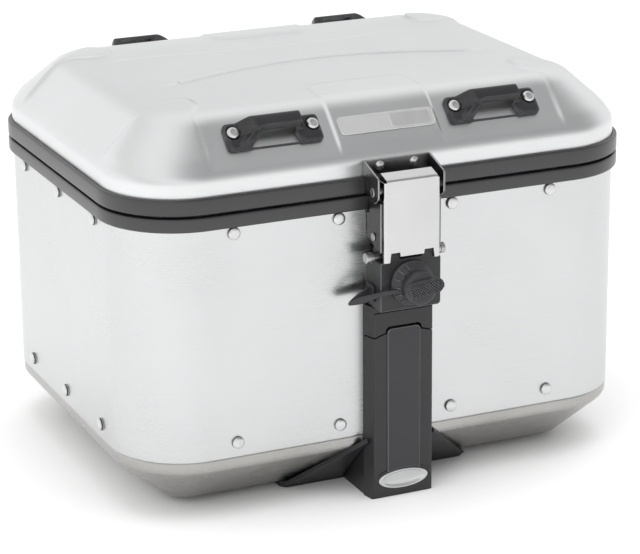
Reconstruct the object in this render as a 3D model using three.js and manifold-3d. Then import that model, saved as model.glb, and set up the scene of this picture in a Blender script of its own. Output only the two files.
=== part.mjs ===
// Top case for a motorcycle: a riveted aluminium box with a hinged lid, a toggle latch at the front,
// a lock column that runs down to the mounting plate, and four tie-down loops on the lid.
//
// Frame: millimetres, +Z up, +X to the right as seen from the lock side, -Y towards the lock side.
// Origin: centre of the flat underside that rests on the carrier.

import * as THREE from 'three';
import { mergeVertices } from 'three/addons/utils/BufferGeometryUtils.js';
import Module from 'manifold-3d';

const wasm = await Module();
wasm.setup();

// ---------------------------------------------------------------- driving dimensions

const WIDTH = 460;
const DEPTH = 350;
const CORNER_RADIUS = 65;
const SHEET = 2;
const GAP = 0.3;

const BASE_THICKNESS = 5.7;
const FLOOR_Z = 6;
const CHAMFER_INSET = 43;
const WALL_FOOT_Z = 54;
const UPSTAND_TOP_Z = 82;

const BAND_FOOT_Z = 251;
const BAND_TOP_Z = 278;
const BAND_PROUD = 4;
const SPLIT_Z = 263.6;
const SPLIT_HALF_GAP = 1;

const RIM_TOP_Z = 294;
const SLOPE_INSET = 40.5;
const TOP_EDGE_Z = 333;
const TOP_ROUNDING = 18;
const TOP_CROWN = 8;
const PANEL_RELIEF = 1.5;
const PANEL_HALF_WIDTH = 46;

const RIVET_HEAD_RADIUS = 5.3;
const RIVET_SHANK_RADIUS = 2;
const RIVET_HOLE_RADIUS = 2.6;
const UPPER_RIVET_Z = 245.5;
const LOWER_RIVET_Z = 67;
const LONG_SIDE_RIVETS = [-142.9, -51.2, 51.2, 142.9];
const SHORT_SIDE_RIVETS = [-88.4, 0, 88.4];

const LOOP_X = 98.5;
const LOOP_LENGTH = 85;
const LOOP_WIDTH = 26;
const LOOP_BASE = 4.5;
const LOOP_BAR_TOP = 14;
const LOOP_GAP_HEIGHT = 7.5;
const LOOP_BOLT_OFFSET = 34.5;
const LOOP_HOLE_RADIUS = 2.9;
const LOOP_SLOPE_DISTANCE = 30;

const EAR_OUTER_X = 30;
const HOOK_OUTER_X = 27;
const LEVER_HALF_WIDTH = 25;
const STEEL = 1.5;
const LEVER_SHEET = 1.2;
const LATCH_FRONT_Y = -206;
const LATCH_PIVOT = { y: -195.5, z: 270 };
const HOOK_RIVET = { y: -190, z: 231 };
const CATCH_BAR = { y: -191, z: 214, radius: 4.7, halfLength: 36 };

const HOUSING_HALF_WIDTH = 27;
const HOUSING_FRONT_Y = -203;
const HOUSING_FOOT_Z = 170;
const LOCK_Z = 192.5;
const LOCK_RADIUS = 12;

const COLUMN_FRONT_Y = -190;
const COLUMN_BACK_Y = -175.5;
const COLUMN_HALF_WIDTH = 27;
const COLUMN_ROOT_HALF_WIDTH = 30;
const COLUMN_TOP_Z = 146;
const HANDLE_HALF_WIDTH = 15;
const HANDLE_PIVOT = { y: -185.7, z: 143.2 };
const HANDLE_FOOT_Z = 28.5;
const HANDLE_TOP_Z = 150;

const BUTTON = { halfWidth: 23, halfHeight: 8.5, z: 15.8 };
const RELEASE_PIVOT = { y: -155, z: 8.5 };
const TETHER_FOLD = { x: -50.5, y: -189 };

const HINGE_X = 97;
const HINGE_WIDTH = 60;
const HINGE_AXIS = { y: 184.5, z: SPLIT_Z };
const KNUCKLE_RADIUS = 4.5;

const WALL_Y = DEPTH / 2;
const WALL_X = WIDTH / 2;

// ---------------------------------------------------------------- materials

const aluminium = material(0xd4d6d9, 0.36, 1);
const darkAluminium = material(0xb9babb, 0.5, 1);
const blackPlastic = material(0x2b2b30, 0.55, 0);
const steel = material(0xcfd2d6, 0.18, 1);
const rubber = material(0x18181a, 0.8, 0);
const silverPlastic = material(0xd8d9da, 0.35, 0.2);

function material(color, roughness, metalness) {
  return new THREE.MeshStandardMaterial({ color, roughness, metalness });
}

// ---------------------------------------------------------------- solids

/** Index list without the triangles that have no area, and with outward faces. */
function cleanIndex(geometry) {
  const source = geometry.index.array;
  const position = geometry.attributes.position;
  const kept = [];
  let volume = 0;
  const a = new THREE.Vector3();
  const b = new THREE.Vector3();
  const c = new THREE.Vector3();
  for (let i = 0; i < source.length; i += 3) {
    const [p, q, r] = [source[i], source[i + 1], source[i + 2]];
    if (p === q || q === r || r === p) continue;
    kept.push(p, q, r);
    a.fromBufferAttribute(position, p);
    b.fromBufferAttribute(position, q);
    c.fromBufferAttribute(position, r);
    volume += a.dot(b.cross(c)) / 6;
  }
  if (volume < 0) {
    for (let i = 0; i < kept.length; i += 3) {
      [kept[i + 1], kept[i + 2]] = [kept[i + 2], kept[i + 1]];
    }
  }
  return kept;
}

/** A closed three.js geometry as a manifold solid. */
function solid(geometry) {
  const bare = geometry.clone();
  bare.deleteAttribute('normal');
  bare.deleteAttribute('uv');
  const merged = mergeVertices(bare, 1e-4);
  return new wasm.Manifold(new wasm.Mesh({
    numProp: 3,
    vertProperties: new Float32Array(merged.attributes.position.array),
    triVerts: new Uint32Array(cleanIndex(merged)),
  }));
}

/** A manifold solid as a three.js geometry. */
function toGeometry(body) {
  const mesh = body.getMesh();
  const geometry = new THREE.BufferGeometry();
  const vertices = new Float32Array(mesh.vertProperties);
  geometry.setAttribute('position', new THREE.BufferAttribute(vertices, 3));
  geometry.setIndex(new THREE.BufferAttribute(new Uint32Array(mesh.triVerts), 1));
  geometry.computeVertexNormals();
  return geometry;
}

function join(...bodies) {
  return bodies.reduce((sum, body) => sum.add(body));
}

function cut(body, ...tools) {
  return tools.reduce((rest, tool) => rest.subtract(tool), body);
}

function shapeOf(points) {
  return new THREE.Shape(points.map(([u, v]) => new THREE.Vector2(u, v)));
}

/** Extrudes an outline along its third direction, which is laid on the given axes. */
function extrude(outline, length, uAxis, vAxis, wAxis, offset) {
  const shape = Array.isArray(outline) ? shapeOf(outline) : outline;
  const options = { depth: length, bevelEnabled: false, curveSegments: 5 };
  const geometry = new THREE.ExtrudeGeometry(shape, options);
  const place = new THREE.Matrix4().makeBasis(uAxis, vAxis, wAxis);
  place.setPosition(offset);
  return solid(geometry.applyMatrix4(place));
}

const X = new THREE.Vector3(1, 0, 0);
const Y = new THREE.Vector3(0, 1, 0);
const Z = new THREE.Vector3(0, 0, 1);

/** Outline in (y, z), extruded from x0 to x1. */
function extrudeX(outline, x0, x1) {
  return extrude(outline, x1 - x0, Y, Z, X, new THREE.Vector3(x0, 0, 0));
}

/** Outline in (x, z), extruded from y0 to y1. */
function extrudeY(outline, y0, y1) {
  return extrude(outline, y1 - y0, X, Z, Y.clone().negate(), new THREE.Vector3(0, y1, 0));
}

/** Outline in (x, y), extruded from z0 to z1. */
function extrudeZ(outline, z0, z1) {
  return extrude(outline, z1 - z0, X, Y, Z, new THREE.Vector3(0, 0, z0));
}

function box(x0, x1, y0, y1, z0, z1) {
  const geometry = new THREE.BoxGeometry(x1 - x0, y1 - y0, z1 - z0);
  geometry.translate((x0 + x1) / 2, (y0 + y1) / 2, (z0 + z1) / 2);
  return solid(geometry);
}

/** Cylinder along X through (y, z). */
function rodX(radius, x0, x1, y, z, segments = 16) {
  const geometry = new THREE.CylinderGeometry(radius, radius, x1 - x0, segments);
  geometry.rotateZ(Math.PI / 2);
  geometry.translate((x0 + x1) / 2, y, z);
  return solid(geometry);
}

/** Cylinder along Y through (x, z). */
function rodY(radius, y0, y1, x, z, segments = 16) {
  const geometry = new THREE.CylinderGeometry(radius, radius, y1 - y0, segments);
  geometry.translate(x, (y0 + y1) / 2, z);
  return solid(geometry);
}

/** Body of revolution from (radius, height) points; its axis is +Z. */
function turned(profile, segments = 12) {
  const points = profile.map(([r, h]) => new THREE.Vector2(r, h));
  const geometry = new THREE.LatheGeometry(points, segments);
  geometry.rotateX(Math.PI / 2);
  return geometry;
}

function roundedRectangle(width, height, radius) {
  const [a, b] = [width / 2, height / 2];
  const shape = new THREE.Shape();
  shape.moveTo(-a + radius, -b);
  shape.lineTo(a - radius, -b);
  shape.absarc(a - radius, -b + radius, radius, -Math.PI / 2, 0, false);
  shape.lineTo(a, b - radius);
  shape.absarc(a - radius, b - radius, radius, 0, Math.PI / 2, false);
  shape.lineTo(-a + radius, b);
  shape.absarc(-a + radius, b - radius, radius, Math.PI / 2, Math.PI, false);
  shape.lineTo(-a, -b + radius);
  shape.absarc(-a + radius, -b + radius, radius, Math.PI, 1.5 * Math.PI, false);
  return shape;
}

// ---------------------------------------------------------------- bodies that follow the box outline

const CORNER_STEPS = 8;
const PARALLEL_INSET = 5.5;

/**
 * A body whose section follows the rounded outline of the box. Each profile entry is
 * [inset from the wall, height, scale of the ring about the middle]. The corners tighten with the
 * inset, beyond PARALLEL_INSET only by the share that shrink gives.
 * A lathe gives the topology, and its rings are then laid on the rounded rectangle.
 */
function around(profile, closed, shrink = 1) {
  const entries = closed ? [...profile, profile[0]] : profile;
  const lathePoints = entries.map(([inset, z]) => new THREE.Vector2(WALL_X - inset, z));
  const segments = 4 * CORNER_STEPS;
  const geometry = new THREE.LatheGeometry(lathePoints, segments);
  const position = geometry.attributes.position;
  for (let i = 0; i <= segments; i += 1) {
    for (let j = 0; j < entries.length; j += 1) {
      const [inset, z, scale = 1] = entries[j];
      const [x, y] = outlinePoint(i % segments, inset, shrink);
      position.setXYZ(i * entries.length + j, x * scale, y * scale, z);
    }
  }
  return solid(geometry);
}

/** Point number i of the rounded outline, moved inwards by the inset. */
function outlinePoint(i, inset, shrink) {
  const quadrant = Math.floor(i / CORNER_STEPS);
  const step = (i % CORNER_STEPS) / (CORNER_STEPS - 1);
  const angle = (quadrant + step) * Math.PI / 2;
  const deeper = Math.max(inset - PARALLEL_INSET, 0);
  const radius = CORNER_RADIUS - Math.min(inset, PARALLEL_INSET) - deeper * shrink;
  const signX = quadrant === 0 || quadrant === 3 ? 1 : -1;
  const signY = quadrant < 2 ? 1 : -1;
  return [
    signX * (WALL_X - inset - radius) + radius * Math.cos(angle),
    signY * (WALL_Y - inset - radius) + radius * Math.sin(angle),
  ];
}

/** The four sides of the box, each with the turn that brings the front onto it. */
const SIDES = {
  front: { turn: 0, distance: WALL_Y, rivets: LONG_SIDE_RIVETS },
  right: { turn: Math.PI / 2, distance: WALL_X, rivets: SHORT_SIDE_RIVETS },
  rear: { turn: Math.PI, distance: WALL_Y, rivets: LONG_SIDE_RIVETS },
  left: { turn: -Math.PI / 2, distance: WALL_X, rivets: SHORT_SIDE_RIVETS },
};

function turnAboutZ(geometry, turn) {
  return geometry.applyMatrix4(new THREE.Matrix4().makeRotationZ(turn));
}

function rivetHoles(z, fromInset, toInset) {
  return Object.values(SIDES).flatMap(({ turn, distance, rivets }) => rivets.map((x) => {
    const length = toInset - fromInset;
    const geometry = new THREE.CylinderGeometry(RIVET_HOLE_RADIUS, RIVET_HOLE_RADIUS, length, 6);
    geometry.translate(x, -distance + (fromInset + toInset) / 2, z);
    return solid(turnAboutZ(geometry, turn));
  }));
}

// ---------------------------------------------------------------- case

function caseWall() {
  const top = SPLIT_Z - SPLIT_HALF_GAP - 1.1;
  const ring = around([[0, WALL_FOOT_Z], [0, top], [SHEET, top], [SHEET, WALL_FOOT_Z]], true);
  return cut(ring, ...rivetHoles(UPPER_RIVET_Z, -1, 4), ...rivetHoles(LOWER_RIVET_Z, -1, 4));
}

const PAN_OUTER_INSET = SHEET + GAP;
const PAN_INNER_INSET = PAN_OUTER_INSET + SHEET;
const CHAMFER_TOP_Z = 46;

function bottomPan() {
  const outside = [
    [CHAMFER_INSET + 20, FLOOR_Z, 0], [CHAMFER_INSET + 20, FLOOR_Z], [CHAMFER_INSET + 3, FLOOR_Z],
    [CHAMFER_INSET - 1, FLOOR_Z + 1.5], [3.6, CHAMFER_TOP_Z - 1.2], [1.4, CHAMFER_TOP_Z + 1.4],
    [0.6, WALL_FOOT_Z - 4], [0.9, WALL_FOOT_Z - GAP], [PAN_OUTER_INSET, WALL_FOOT_Z - GAP],
    [PAN_OUTER_INSET, UPSTAND_TOP_Z],
  ];
  const inside = [
    [PAN_INNER_INSET, UPSTAND_TOP_Z], [PAN_INNER_INSET, CHAMFER_TOP_Z + 1],
    [CHAMFER_INSET, FLOOR_Z + SHEET + 1.4], [CHAMFER_INSET + 4, FLOOR_Z + SHEET],
    [CHAMFER_INSET + 20, FLOOR_Z + SHEET], [CHAMFER_INSET + 20, FLOOR_Z + SHEET, 0],
  ];
  return cut(around([...outside, ...inside], false), ...rivetHoles(LOWER_RIVET_Z, 1, 6));
}

const FRAME_INNER_INSET = 5;

/** Section of a band: a channel that grips a sheet edge. side is -1 below the split, +1 above it. */
function bandProfile(side, outerEnd, legEnd) {
  const face = SPLIT_Z + side * SPLIT_HALF_GAP;
  const channel = face + side * 0.8;
  return [
    [-BAND_PROUD, outerEnd - side * 1.2], [-BAND_PROUD, face + side * 1.4], [-BAND_PROUD + 1.2, face],
    [FRAME_INNER_INSET, face], [FRAME_INNER_INSET, legEnd], [PAN_OUTER_INSET, legEnd],
    [PAN_OUTER_INSET, channel], [-GAP, channel], [-GAP, outerEnd], [-BAND_PROUD + 1.2, outerEnd],
  ];
}

function caseFrame() {
  const band = around(bandProfile(-1, BAND_FOOT_Z, 236), true);
  return cut(band, ...rivetHoles(UPPER_RIVET_Z, 1, 7));
}

function lidFrame() {
  return around(bandProfile(1, BAND_TOP_Z, 281), true);
}

function lidSeal() {
  const half = SPLIT_HALF_GAP - GAP;
  return around([
    [0.5, SPLIT_Z - half], [0.5, SPLIT_Z + half], [4.5, SPLIT_Z + half], [4.5, SPLIT_Z - half],
  ], true);
}

/** A row of rivets, tied together by the backing strip that spreads their load inside. */
function rivetRow({ turn, distance, rivets }, z, gripInset) {
  const stripFrom = gripInset + GAP;
  const stripTo = stripFrom + 1.5;
  const head = [[0, 0], [RIVET_HEAD_RADIUS, 0], [RIVET_HEAD_RADIUS, 0.7], [3.4, 2.4], [0, 2.4]];
  const reach = Math.abs(rivets[0]) + 8;
  const bodies = [box(-reach, reach, -distance + stripFrom, -distance + stripTo, z - 6, z + 6)];
  for (const x of rivets) {
    const dome = turned(head, 8);
    dome.rotateX(Math.PI / 2);
    dome.translate(x, -distance - GAP, z);
    bodies.push(solid(dome));
    bodies.push(rodY(RIVET_SHANK_RADIUS, -distance - GAP - 0.5, -distance + stripTo - 0.5, x, z, 6));
  }
  return turnAboutZ(toGeometry(join(...bodies)), turn);
}

// ---------------------------------------------------------------- lid

/** Height and inset of the lid's outside, from the rim over the slope to the crowned top. */
function lidOutline() {
  const rise = TOP_EDGE_Z - RIM_TOP_Z;
  const slope = Math.hypot(SLOPE_INSET, rise);
  const [ui, uz] = [SLOPE_INSET / slope, rise / slope];
  const start = new THREE.Vector2(SLOPE_INSET - ui * TOP_ROUNDING, TOP_EDGE_Z - uz * TOP_ROUNDING);
  const corner = new THREE.Vector2(SLOPE_INSET, TOP_EDGE_Z);
  const end = new THREE.Vector2(TOP_RING_INSET, TOP_EDGE_Z + EDGE_CROWN);
  const bend = new THREE.QuadraticBezierCurve(start, corner, end).getPoints(4);
  return [[0, RIM_TOP_Z - 2.5], [0.8, RIM_TOP_Z + 0.6], ...bend.map(({ x, y }) => [x, y])];
}

/** The outline moved along its normals, inwards for a positive distance. */
function offsetOutline(points, distance) {
  return points.map(([inset, z], i) => {
    const before = points[Math.max(i - 1, 0)];
    const after = points[Math.min(i + 1, points.length - 1)];
    const [di, dz] = [after[0] - before[0], after[1] - before[1]];
    const length = Math.hypot(di, dz);
    return [inset + distance * dz / length, z - distance * di / length];
  });
}

const LID_SHRINK = 0.5;
const TOP_RING_INSET = SLOPE_INSET + TOP_ROUNDING;
const EDGE_CROWN = 0.3 * TOP_CROWN;
const CROWN_RINGS = [[0.75, 0.62], [0.45, 0.88], [0, 1]];

function lidShell() {
  const outline = lidOutline();
  const outside = [[0, SPLIT_Z + SPLIT_HALF_GAP + 1.1], ...outline];
  const inside = [[SHEET, outside[0][1]], ...offsetOutline(outline, SHEET)];
  const crownHeight = (share) => TOP_EDGE_Z + EDGE_CROWN + (TOP_CROWN - EDGE_CROWN) * share;
  const crown = CROWN_RINGS.map(([scale, share]) => [TOP_RING_INSET, crownHeight(share), scale]);
  const crownInside = crown.map(([inset, z, scale]) => [inset, z - SHEET, scale]);
  const profile = [...outside, ...crown, ...crownInside.reverse(), ...inside.reverse()];
  let shell = around([...profile, profile[0]], false, LID_SHRINK);
  for (const side of [-1, 1]) shell = shell.add(centrePanel(side, outline));
  const holes = LOOP_PLACES.flatMap((place) => [-1, 1].map((end) => boltHole(place, end)));
  for (const x of BRACKET_RIVETS) {
    holes.push(rodY(RIVET_HOLE_RADIUS, -WALL_Y - 3, -WALL_Y + 4, x, BRACKET_RIVET_Z, 8));
  }
  return cut(shell, ...holes);
}

/** The raised panel in the middle of the front and the rear slope. */
function centrePanel(side, outline) {
  const run = outline.slice(1);
  const raised = offsetOutline(run, -PANEL_RELIEF);
  const buried = offsetOutline(run, SHEET * 0.5);
  raised[0] = run[0];
  const last = raised.length - 1;
  const tail = [raised[last][0] + 8, run[last][1] + 0.2];
  const points = [...raised, tail, ...buried.reverse()].map(([inset, z]) => [side * (WALL_Y - inset), z]);
  return extrudeX(points, -PANEL_HALF_WIDTH, PANEL_HALF_WIDTH);
}

// ---------------------------------------------------------------- tie-down loops

const SLOPE_ANGLE = Math.atan2(TOP_EDGE_Z - RIM_TOP_Z, SLOPE_INSET);
const LOOP_PLACES = [
  { name: 'front_left', x: -LOOP_X, turn: 0 },
  { name: 'front_right', x: LOOP_X, turn: 0 },
  { name: 'rear_left', x: LOOP_X, turn: Math.PI },
  { name: 'rear_right', x: -LOOP_X, turn: Math.PI },
];

/** Places a geometry made flat on the XY plane onto the slope of the lid. */
function onSlope(geometry, { x, turn }, slopeDistance) {
  geometry.rotateX(SLOPE_ANGLE);
  geometry.translate(
    x,
    -WALL_Y + slopeDistance * Math.cos(SLOPE_ANGLE),
    RIM_TOP_Z + slopeDistance * Math.sin(SLOPE_ANGLE),
  );
  return turnAboutZ(geometry, turn);
}

/** Flat plan: length along x, up the slope along y, outwards along z. */
function tieDownLoop(place) {
  const half = LOOP_LENGTH / 2;
  const plate = extrudeZ(roundedRectangle(LOOP_LENGTH, LOOP_WIDTH, 6), GAP, LOOP_BASE);
  const arch = extrudeY([
    [-28.5, GAP + 1], [28.5, GAP + 1], [28, LOOP_BASE + 1.5], [24, LOOP_BAR_TOP - 1.5], [21, LOOP_BAR_TOP],
    [-21, LOOP_BAR_TOP], [-24, LOOP_BAR_TOP - 1.5], [-28, LOOP_BASE + 1.5],
  ], -1, LOOP_WIDTH / 2 - 0.5);
  const window = extrudeZ([[-20, -9], [20, -9], [21, LOOP_WIDTH], [-21, LOOP_WIDTH]], -1, LOOP_BASE + 0.1);
  const passage = box(-21, 21, -half, half, -1, LOOP_GAP_HEIGHT);
  const base = cut(plate, window);
  const bar = cut(arch, passage);
  const holes = [-1, 1].map((end) => flatRod(LOOP_HOLE_RADIUS, -5, 10, end * LOOP_BOLT_OFFSET));
  return onSlope(toGeometry(cut(join(base, bar), ...holes)), place, LOOP_SLOPE_DISTANCE);
}

/** Cylinder that stands on the flat plan. */
function flatRod(radius, z0, z1, x, segments = 8) {
  const geometry = new THREE.CylinderGeometry(radius, radius, z1 - z0, segments);
  geometry.rotateX(Math.PI / 2);
  geometry.translate(x, 0, (z0 + z1) / 2);
  return solid(geometry);
}

function boltHole(place, end) {
  const rod = toGeometry(flatRod(LOOP_HOLE_RADIUS, -8, 8, end * LOOP_BOLT_OFFSET));
  return solid(onSlope(rod, place, LOOP_SLOPE_DISTANCE));
}

function loopBolt(place, end) {
  const top = LOOP_BASE + GAP;
  const profile = [
    [0, -6], [2.4, -6], [2.4, top], [4.6, top], [4.6, top + 1.1], [3.4, top + 2.5], [0, top + 2.5],
  ];
  const body = turned(profile, 8);
  body.translate(end * LOOP_BOLT_OFFSET, 0, 0);
  return onSlope(toGeometry(solid(body)), place, LOOP_SLOPE_DISTANCE);
}

function badge() {
  const plate = extrudeZ(roundedRectangle(86, 17, 4), PANEL_RELIEF + GAP, PANEL_RELIEF + GAP + 1);
  return onSlope(toGeometry(plate), { x: 0, turn: 0 }, 25);
}

// ---------------------------------------------------------------- latch on the lid

const BRACKET_RIVETS = [-15.5, 15.5];
const BRACKET_RIVET_Z = 286;
const PIN_RADIUS = 2.5;
const PIN_HOLE_RADIUS = 2.8;

function mirroredPlates(outline, outerX, thickness) {
  return [
    extrudeX(outline, -outerX, -outerX + thickness),
    extrudeX(outline, outerX - thickness, outerX),
  ];
}

function latchBracket() {
  const back = -WALL_Y - GAP;
  const low = LATCH_PIVOT.z;
  const ear = [
    [back, 291.5], [back, 279.2], [-179.6, 278.6], [-181, low], [-184, low - 5.5], [-190, low - 9],
    [-198, low - 9], [-203, low - 5], [-204.5, low], [-204.5, 283], [back - STEEL - 2, 291.5],
  ];
  const backPlate = box(-EAR_OUTER_X, EAR_OUTER_X, back - STEEL, back, 279.2, 291.5);
  const holes = BRACKET_RIVETS.map((x) => rodY(RIVET_HOLE_RADIUS, back - 5, back + 5, x, BRACKET_RIVET_Z, 8));
  const bore = rodX(PIN_HOLE_RADIUS, -40, 40, LATCH_PIVOT.y, LATCH_PIVOT.z);
  return cut(join(backPlate, ...mirroredPlates(ear, EAR_OUTER_X, STEEL)), bore, ...holes);
}

function bracketRivet(x) {
  const face = -WALL_Y - GAP - STEEL - GAP;
  const dome = turned([[0, 0], [4.2, 0], [4.2, 0.5], [3, 1.7], [0, 2.2]], 10);
  dome.rotateX(Math.PI / 2);
  dome.translate(x, face, BRACKET_RIVET_Z);
  const shank = rodY(RIVET_SHANK_RADIUS, face - 0.5, -WALL_Y + SHEET + 1.5, x, BRACKET_RIVET_Z, 8);
  const tail = rodY(3.4, -WALL_Y + SHEET + GAP, -WALL_Y + SHEET + 1.8, x, BRACKET_RIVET_Z, 8);
  return join(solid(dome), shank, tail);
}

/** A pin along X with a flat head at each end. */
function headedPin({ y, z }, radius, headRadius, headFrom, headTo) {
  return join(
    rodX(radius, -headTo + 0.1, headTo - 0.1, y, z),
    rodX(headRadius, -headTo, -headFrom, y, z),
    rodX(headRadius, headFrom, headTo, y, z),
  );
}

/** Bright cover plate with side flanges, a bent lip at the top and a notched lower edge. */
function latchLever() {
  const front = extrudeY([
    [-25, 212], [-18.5, 212], [-18.5, 220], [-10.5, 220], [-10.5, 216.3], [10.5, 216.3], [10.5, 220],
    [18.5, 220], [18.5, 212], [25, 212], [25, 281.4], [-25, 281.4],
  ], LATCH_FRONT_Y, LATCH_FRONT_Y + LEVER_SHEET);
  const inner = LATCH_FRONT_Y + LEVER_SHEET - 0.2;
  const flange = [
    [inner, 224], [-185, 226], [-185, 268], [-189, 276], [-193.8, 283.6], [inner, 280],
  ];
  const lip = extrudeX([
    [LATCH_FRONT_Y, 280], [inner + 0.2, 280], [-193.8, 283.8], [-193.8, 285], [LATCH_FRONT_Y + 0.6, 281.7],
  ], -LEVER_HALF_WIDTH, LEVER_HALF_WIDTH);
  const bores = [LATCH_PIVOT, HOOK_RIVET].map(({ y, z }) => rodX(PIN_HOLE_RADIUS, -40, 40, y, z));
  return cut(join(front, lip, ...mirroredPlates(flange, LEVER_HALF_WIDTH, LEVER_SHEET)), ...bores);
}

/** Side plates outside the lever, tied by a web at the back. */
function latchHook() {
  const plate = [
    [-176.5, 228.5], [-203, 219.4], [-203, 262], [-181.5, 262], [-181.5, 249.5], [-176.5, 247.5],
  ];
  const inner = HOOK_OUTER_X - STEEL;
  const web = box(-inner - 0.5, inner + 0.5, -180.1, -178.6, 230, 246);
  const bore = rodX(PIN_HOLE_RADIUS, -40, 40, HOOK_RIVET.y, HOOK_RIVET.z);
  return cut(join(web, ...mirroredPlates(plate, HOOK_OUTER_X, STEEL)), bore);
}

// ---------------------------------------------------------------- lock

function catchBar() {
  const { radius, halfLength } = CATCH_BAR;
  return headedPin(CATCH_BAR, radius, radius + 0.5, halfLength - 7, halfLength);
}

function lockHousing() {
  const back = -WALL_Y - GAP;
  const half = HOUSING_HALF_WIDTH;
  const block = extrudeY([
    [-half, HOUSING_FOOT_Z + 2], [-half + 2, HOUSING_FOOT_Z], [half - 2, HOUSING_FOOT_Z],
    [half, HOUSING_FOOT_Z + 2], [half, 211.5], [-half, 211.5],
  ], HOUSING_FRONT_Y, back);
  const crest = extrudeY([
    [-20, 211], [20, 211], [18, 219.4], [11, 219.4], [10, 215.6], [-10, 215.6], [-11, 219.4], [-18, 219.4],
  ], HOUSING_FRONT_Y, HOUSING_FRONT_Y + 4.5);
  const barSeat = box(-22.5, 22.5, HOUSING_FRONT_Y + 4, back - 3.5, 210, 220.6);
  const barBore = rodX(CATCH_BAR.radius + GAP, -60, 60, CATCH_BAR.y, CATCH_BAR.z);
  const lockBore = rodY(LOCK_RADIUS + GAP, HOUSING_FRONT_Y - 1, back - 3, 0, LOCK_Z, 24);
  return cut(join(block, crest, barSeat), barBore, lockBore);
}

function lockCylinder() {
  const face = HOUSING_FRONT_Y + 0.5;
  const plug = rodY(LOCK_RADIUS - 0.1, face, -179, 0, LOCK_Z, 24);
  const keyway = box(-1.1, 1.1, face - 1, face + 9, LOCK_Z - 5, LOCK_Z + 5);
  return cut(plug, keyway);
}

function dustCap() {
  const disc = turned([[0, 0], [20.8, 0], [20.8, 1.4], [17, 3], [15, 22], [13.5, 23], [0, 23]], 20);
  disc.rotateX(Math.PI / 2);
  disc.translate(0, HOUSING_FRONT_Y - GAP, LOCK_Z);
  const grip = extrudeY([
    [-12, LOCK_Z - 6], [16, LOCK_Z - 6.5], [20, LOCK_Z - 4], [21.5, LOCK_Z], [20, LOCK_Z + 4],
    [16, LOCK_Z + 6.5], [-12, LOCK_Z + 6],
  ], HOUSING_FRONT_Y - 29, HOUSING_FRONT_Y - 22);
  return join(solid(disc), grip);
}

const TETHER_Z = [180, 187];

/** The arm of the strap that goes with the cap: from the cap's disc to the fold. */
function capTether() {
  const { x, y } = TETHER_FOLD;
  return extrudeZ([
    [-21.2, -204.1], [-21.2, -206], [-30, -205.2], [x + 0.4, y - 3], [x - 1, y - 1.8], [x - 0.5, y - 0.6],
    [x + 1.4, y - 1.3], [-30.5, -203.5],
  ], ...TETHER_Z);
}

/** The arm of the strap that stays on the housing, with its pad. */
function tetherAnchor() {
  const { x, y } = TETHER_FOLD;
  const side = -HOUSING_HALF_WIDTH - GAP;
  const arm = extrudeZ([
    [side - 1, -186.6], [x + 1.6, y + 0.6], [x + 0.4, y + 0.6], [x + 0.2, y + 2.1], [side - 1, -184.6],
  ], ...TETHER_Z);
  const pad = box(side - 2, side, -194, -179, TETHER_Z[0] - 5, TETHER_Z[1] + 3);
  return join(arm, pad);
}

// ---------------------------------------------------------------- column, handle and release

/** Plan of the column: narrower at its face than at its root. */
function columnPlan(rootY) {
  return [
    [-COLUMN_ROOT_HALF_WIDTH, rootY], [-COLUMN_ROOT_HALF_WIDTH, COLUMN_BACK_Y],
    [-COLUMN_HALF_WIDTH, COLUMN_FRONT_Y + 1.5], [-COLUMN_HALF_WIDTH + 1.5, COLUMN_FRONT_Y],
    [COLUMN_HALF_WIDTH - 1.5, COLUMN_FRONT_Y], [COLUMN_HALF_WIDTH, COLUMN_FRONT_Y + 1.5],
    [COLUMN_ROOT_HALF_WIDTH, COLUMN_BACK_Y], [COLUMN_ROOT_HALF_WIDTH, rootY],
  ];
}

function columnShoulder() {
  const body = extrudeZ(columnPlan(COLUMN_BACK_Y), COLUMN_TOP_Z + GAP, HOUSING_FOOT_Z - GAP);
  const notch = box(-16, 16, COLUMN_FRONT_Y - 1, -177, COLUMN_TOP_Z - 1, HANDLE_TOP_Z + 2);
  return cut(body, notch);
}

const FOOT_BACK_Y = -134;

function columnBody() {
  const side = extrudeX([
    [COLUMN_FRONT_Y, COLUMN_TOP_Z], [COLUMN_FRONT_Y, 11], [-184.5, 0], [FOOT_BACK_Y, 0],
    [FOOT_BACK_Y, 5.4], [COLUMN_BACK_Y, 46.5], [COLUMN_BACK_Y, COLUMN_TOP_Z],
  ], -40, 40);
  const plan = extrudeZ(columnPlan(FOOT_BACK_Y), -1, COLUMN_TOP_Z + 1);
  const recess = box(-15.8, 15.8, COLUMN_FRONT_Y - 1, -181.4, HANDLE_FOOT_Z - 0.8, COLUMN_TOP_Z + 1);
  const knuckleRoom = box(-15.8, 15.8, COLUMN_FRONT_Y - 1, -177, 132, COLUMN_TOP_Z + 1);
  const pinBore = rodX(1.8, -22, 22, HANDLE_PIVOT.y, HANDLE_PIVOT.z, 12);
  const buttonBore = ovalRod(0.4, COLUMN_FRONT_Y - 2, -165);
  const hookSlot = box(-6.5, 6.5, -163.5, FOOT_BACK_Y + 1, -1, 17);
  const hookBore = rodX(1.8, -12.5, 12.5, RELEASE_PIVOT.y, RELEASE_PIVOT.z, 12);
  return cut(side.intersect(plan), recess, knuckleRoom, pinBore, buttonBore, hookSlot, hookBore);
}

/** Oval cylinder along Y, larger than the button by the clearance. */
function ovalRod(clearance, y0, y1) {
  const geometry = new THREE.CylinderGeometry(1, 1, y1 - y0, 24);
  geometry.scale(BUTTON.halfWidth + clearance, 1, BUTTON.halfHeight + clearance);
  geometry.translate(0, (y0 + y1) / 2, BUTTON.z);
  return solid(geometry);
}

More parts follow.
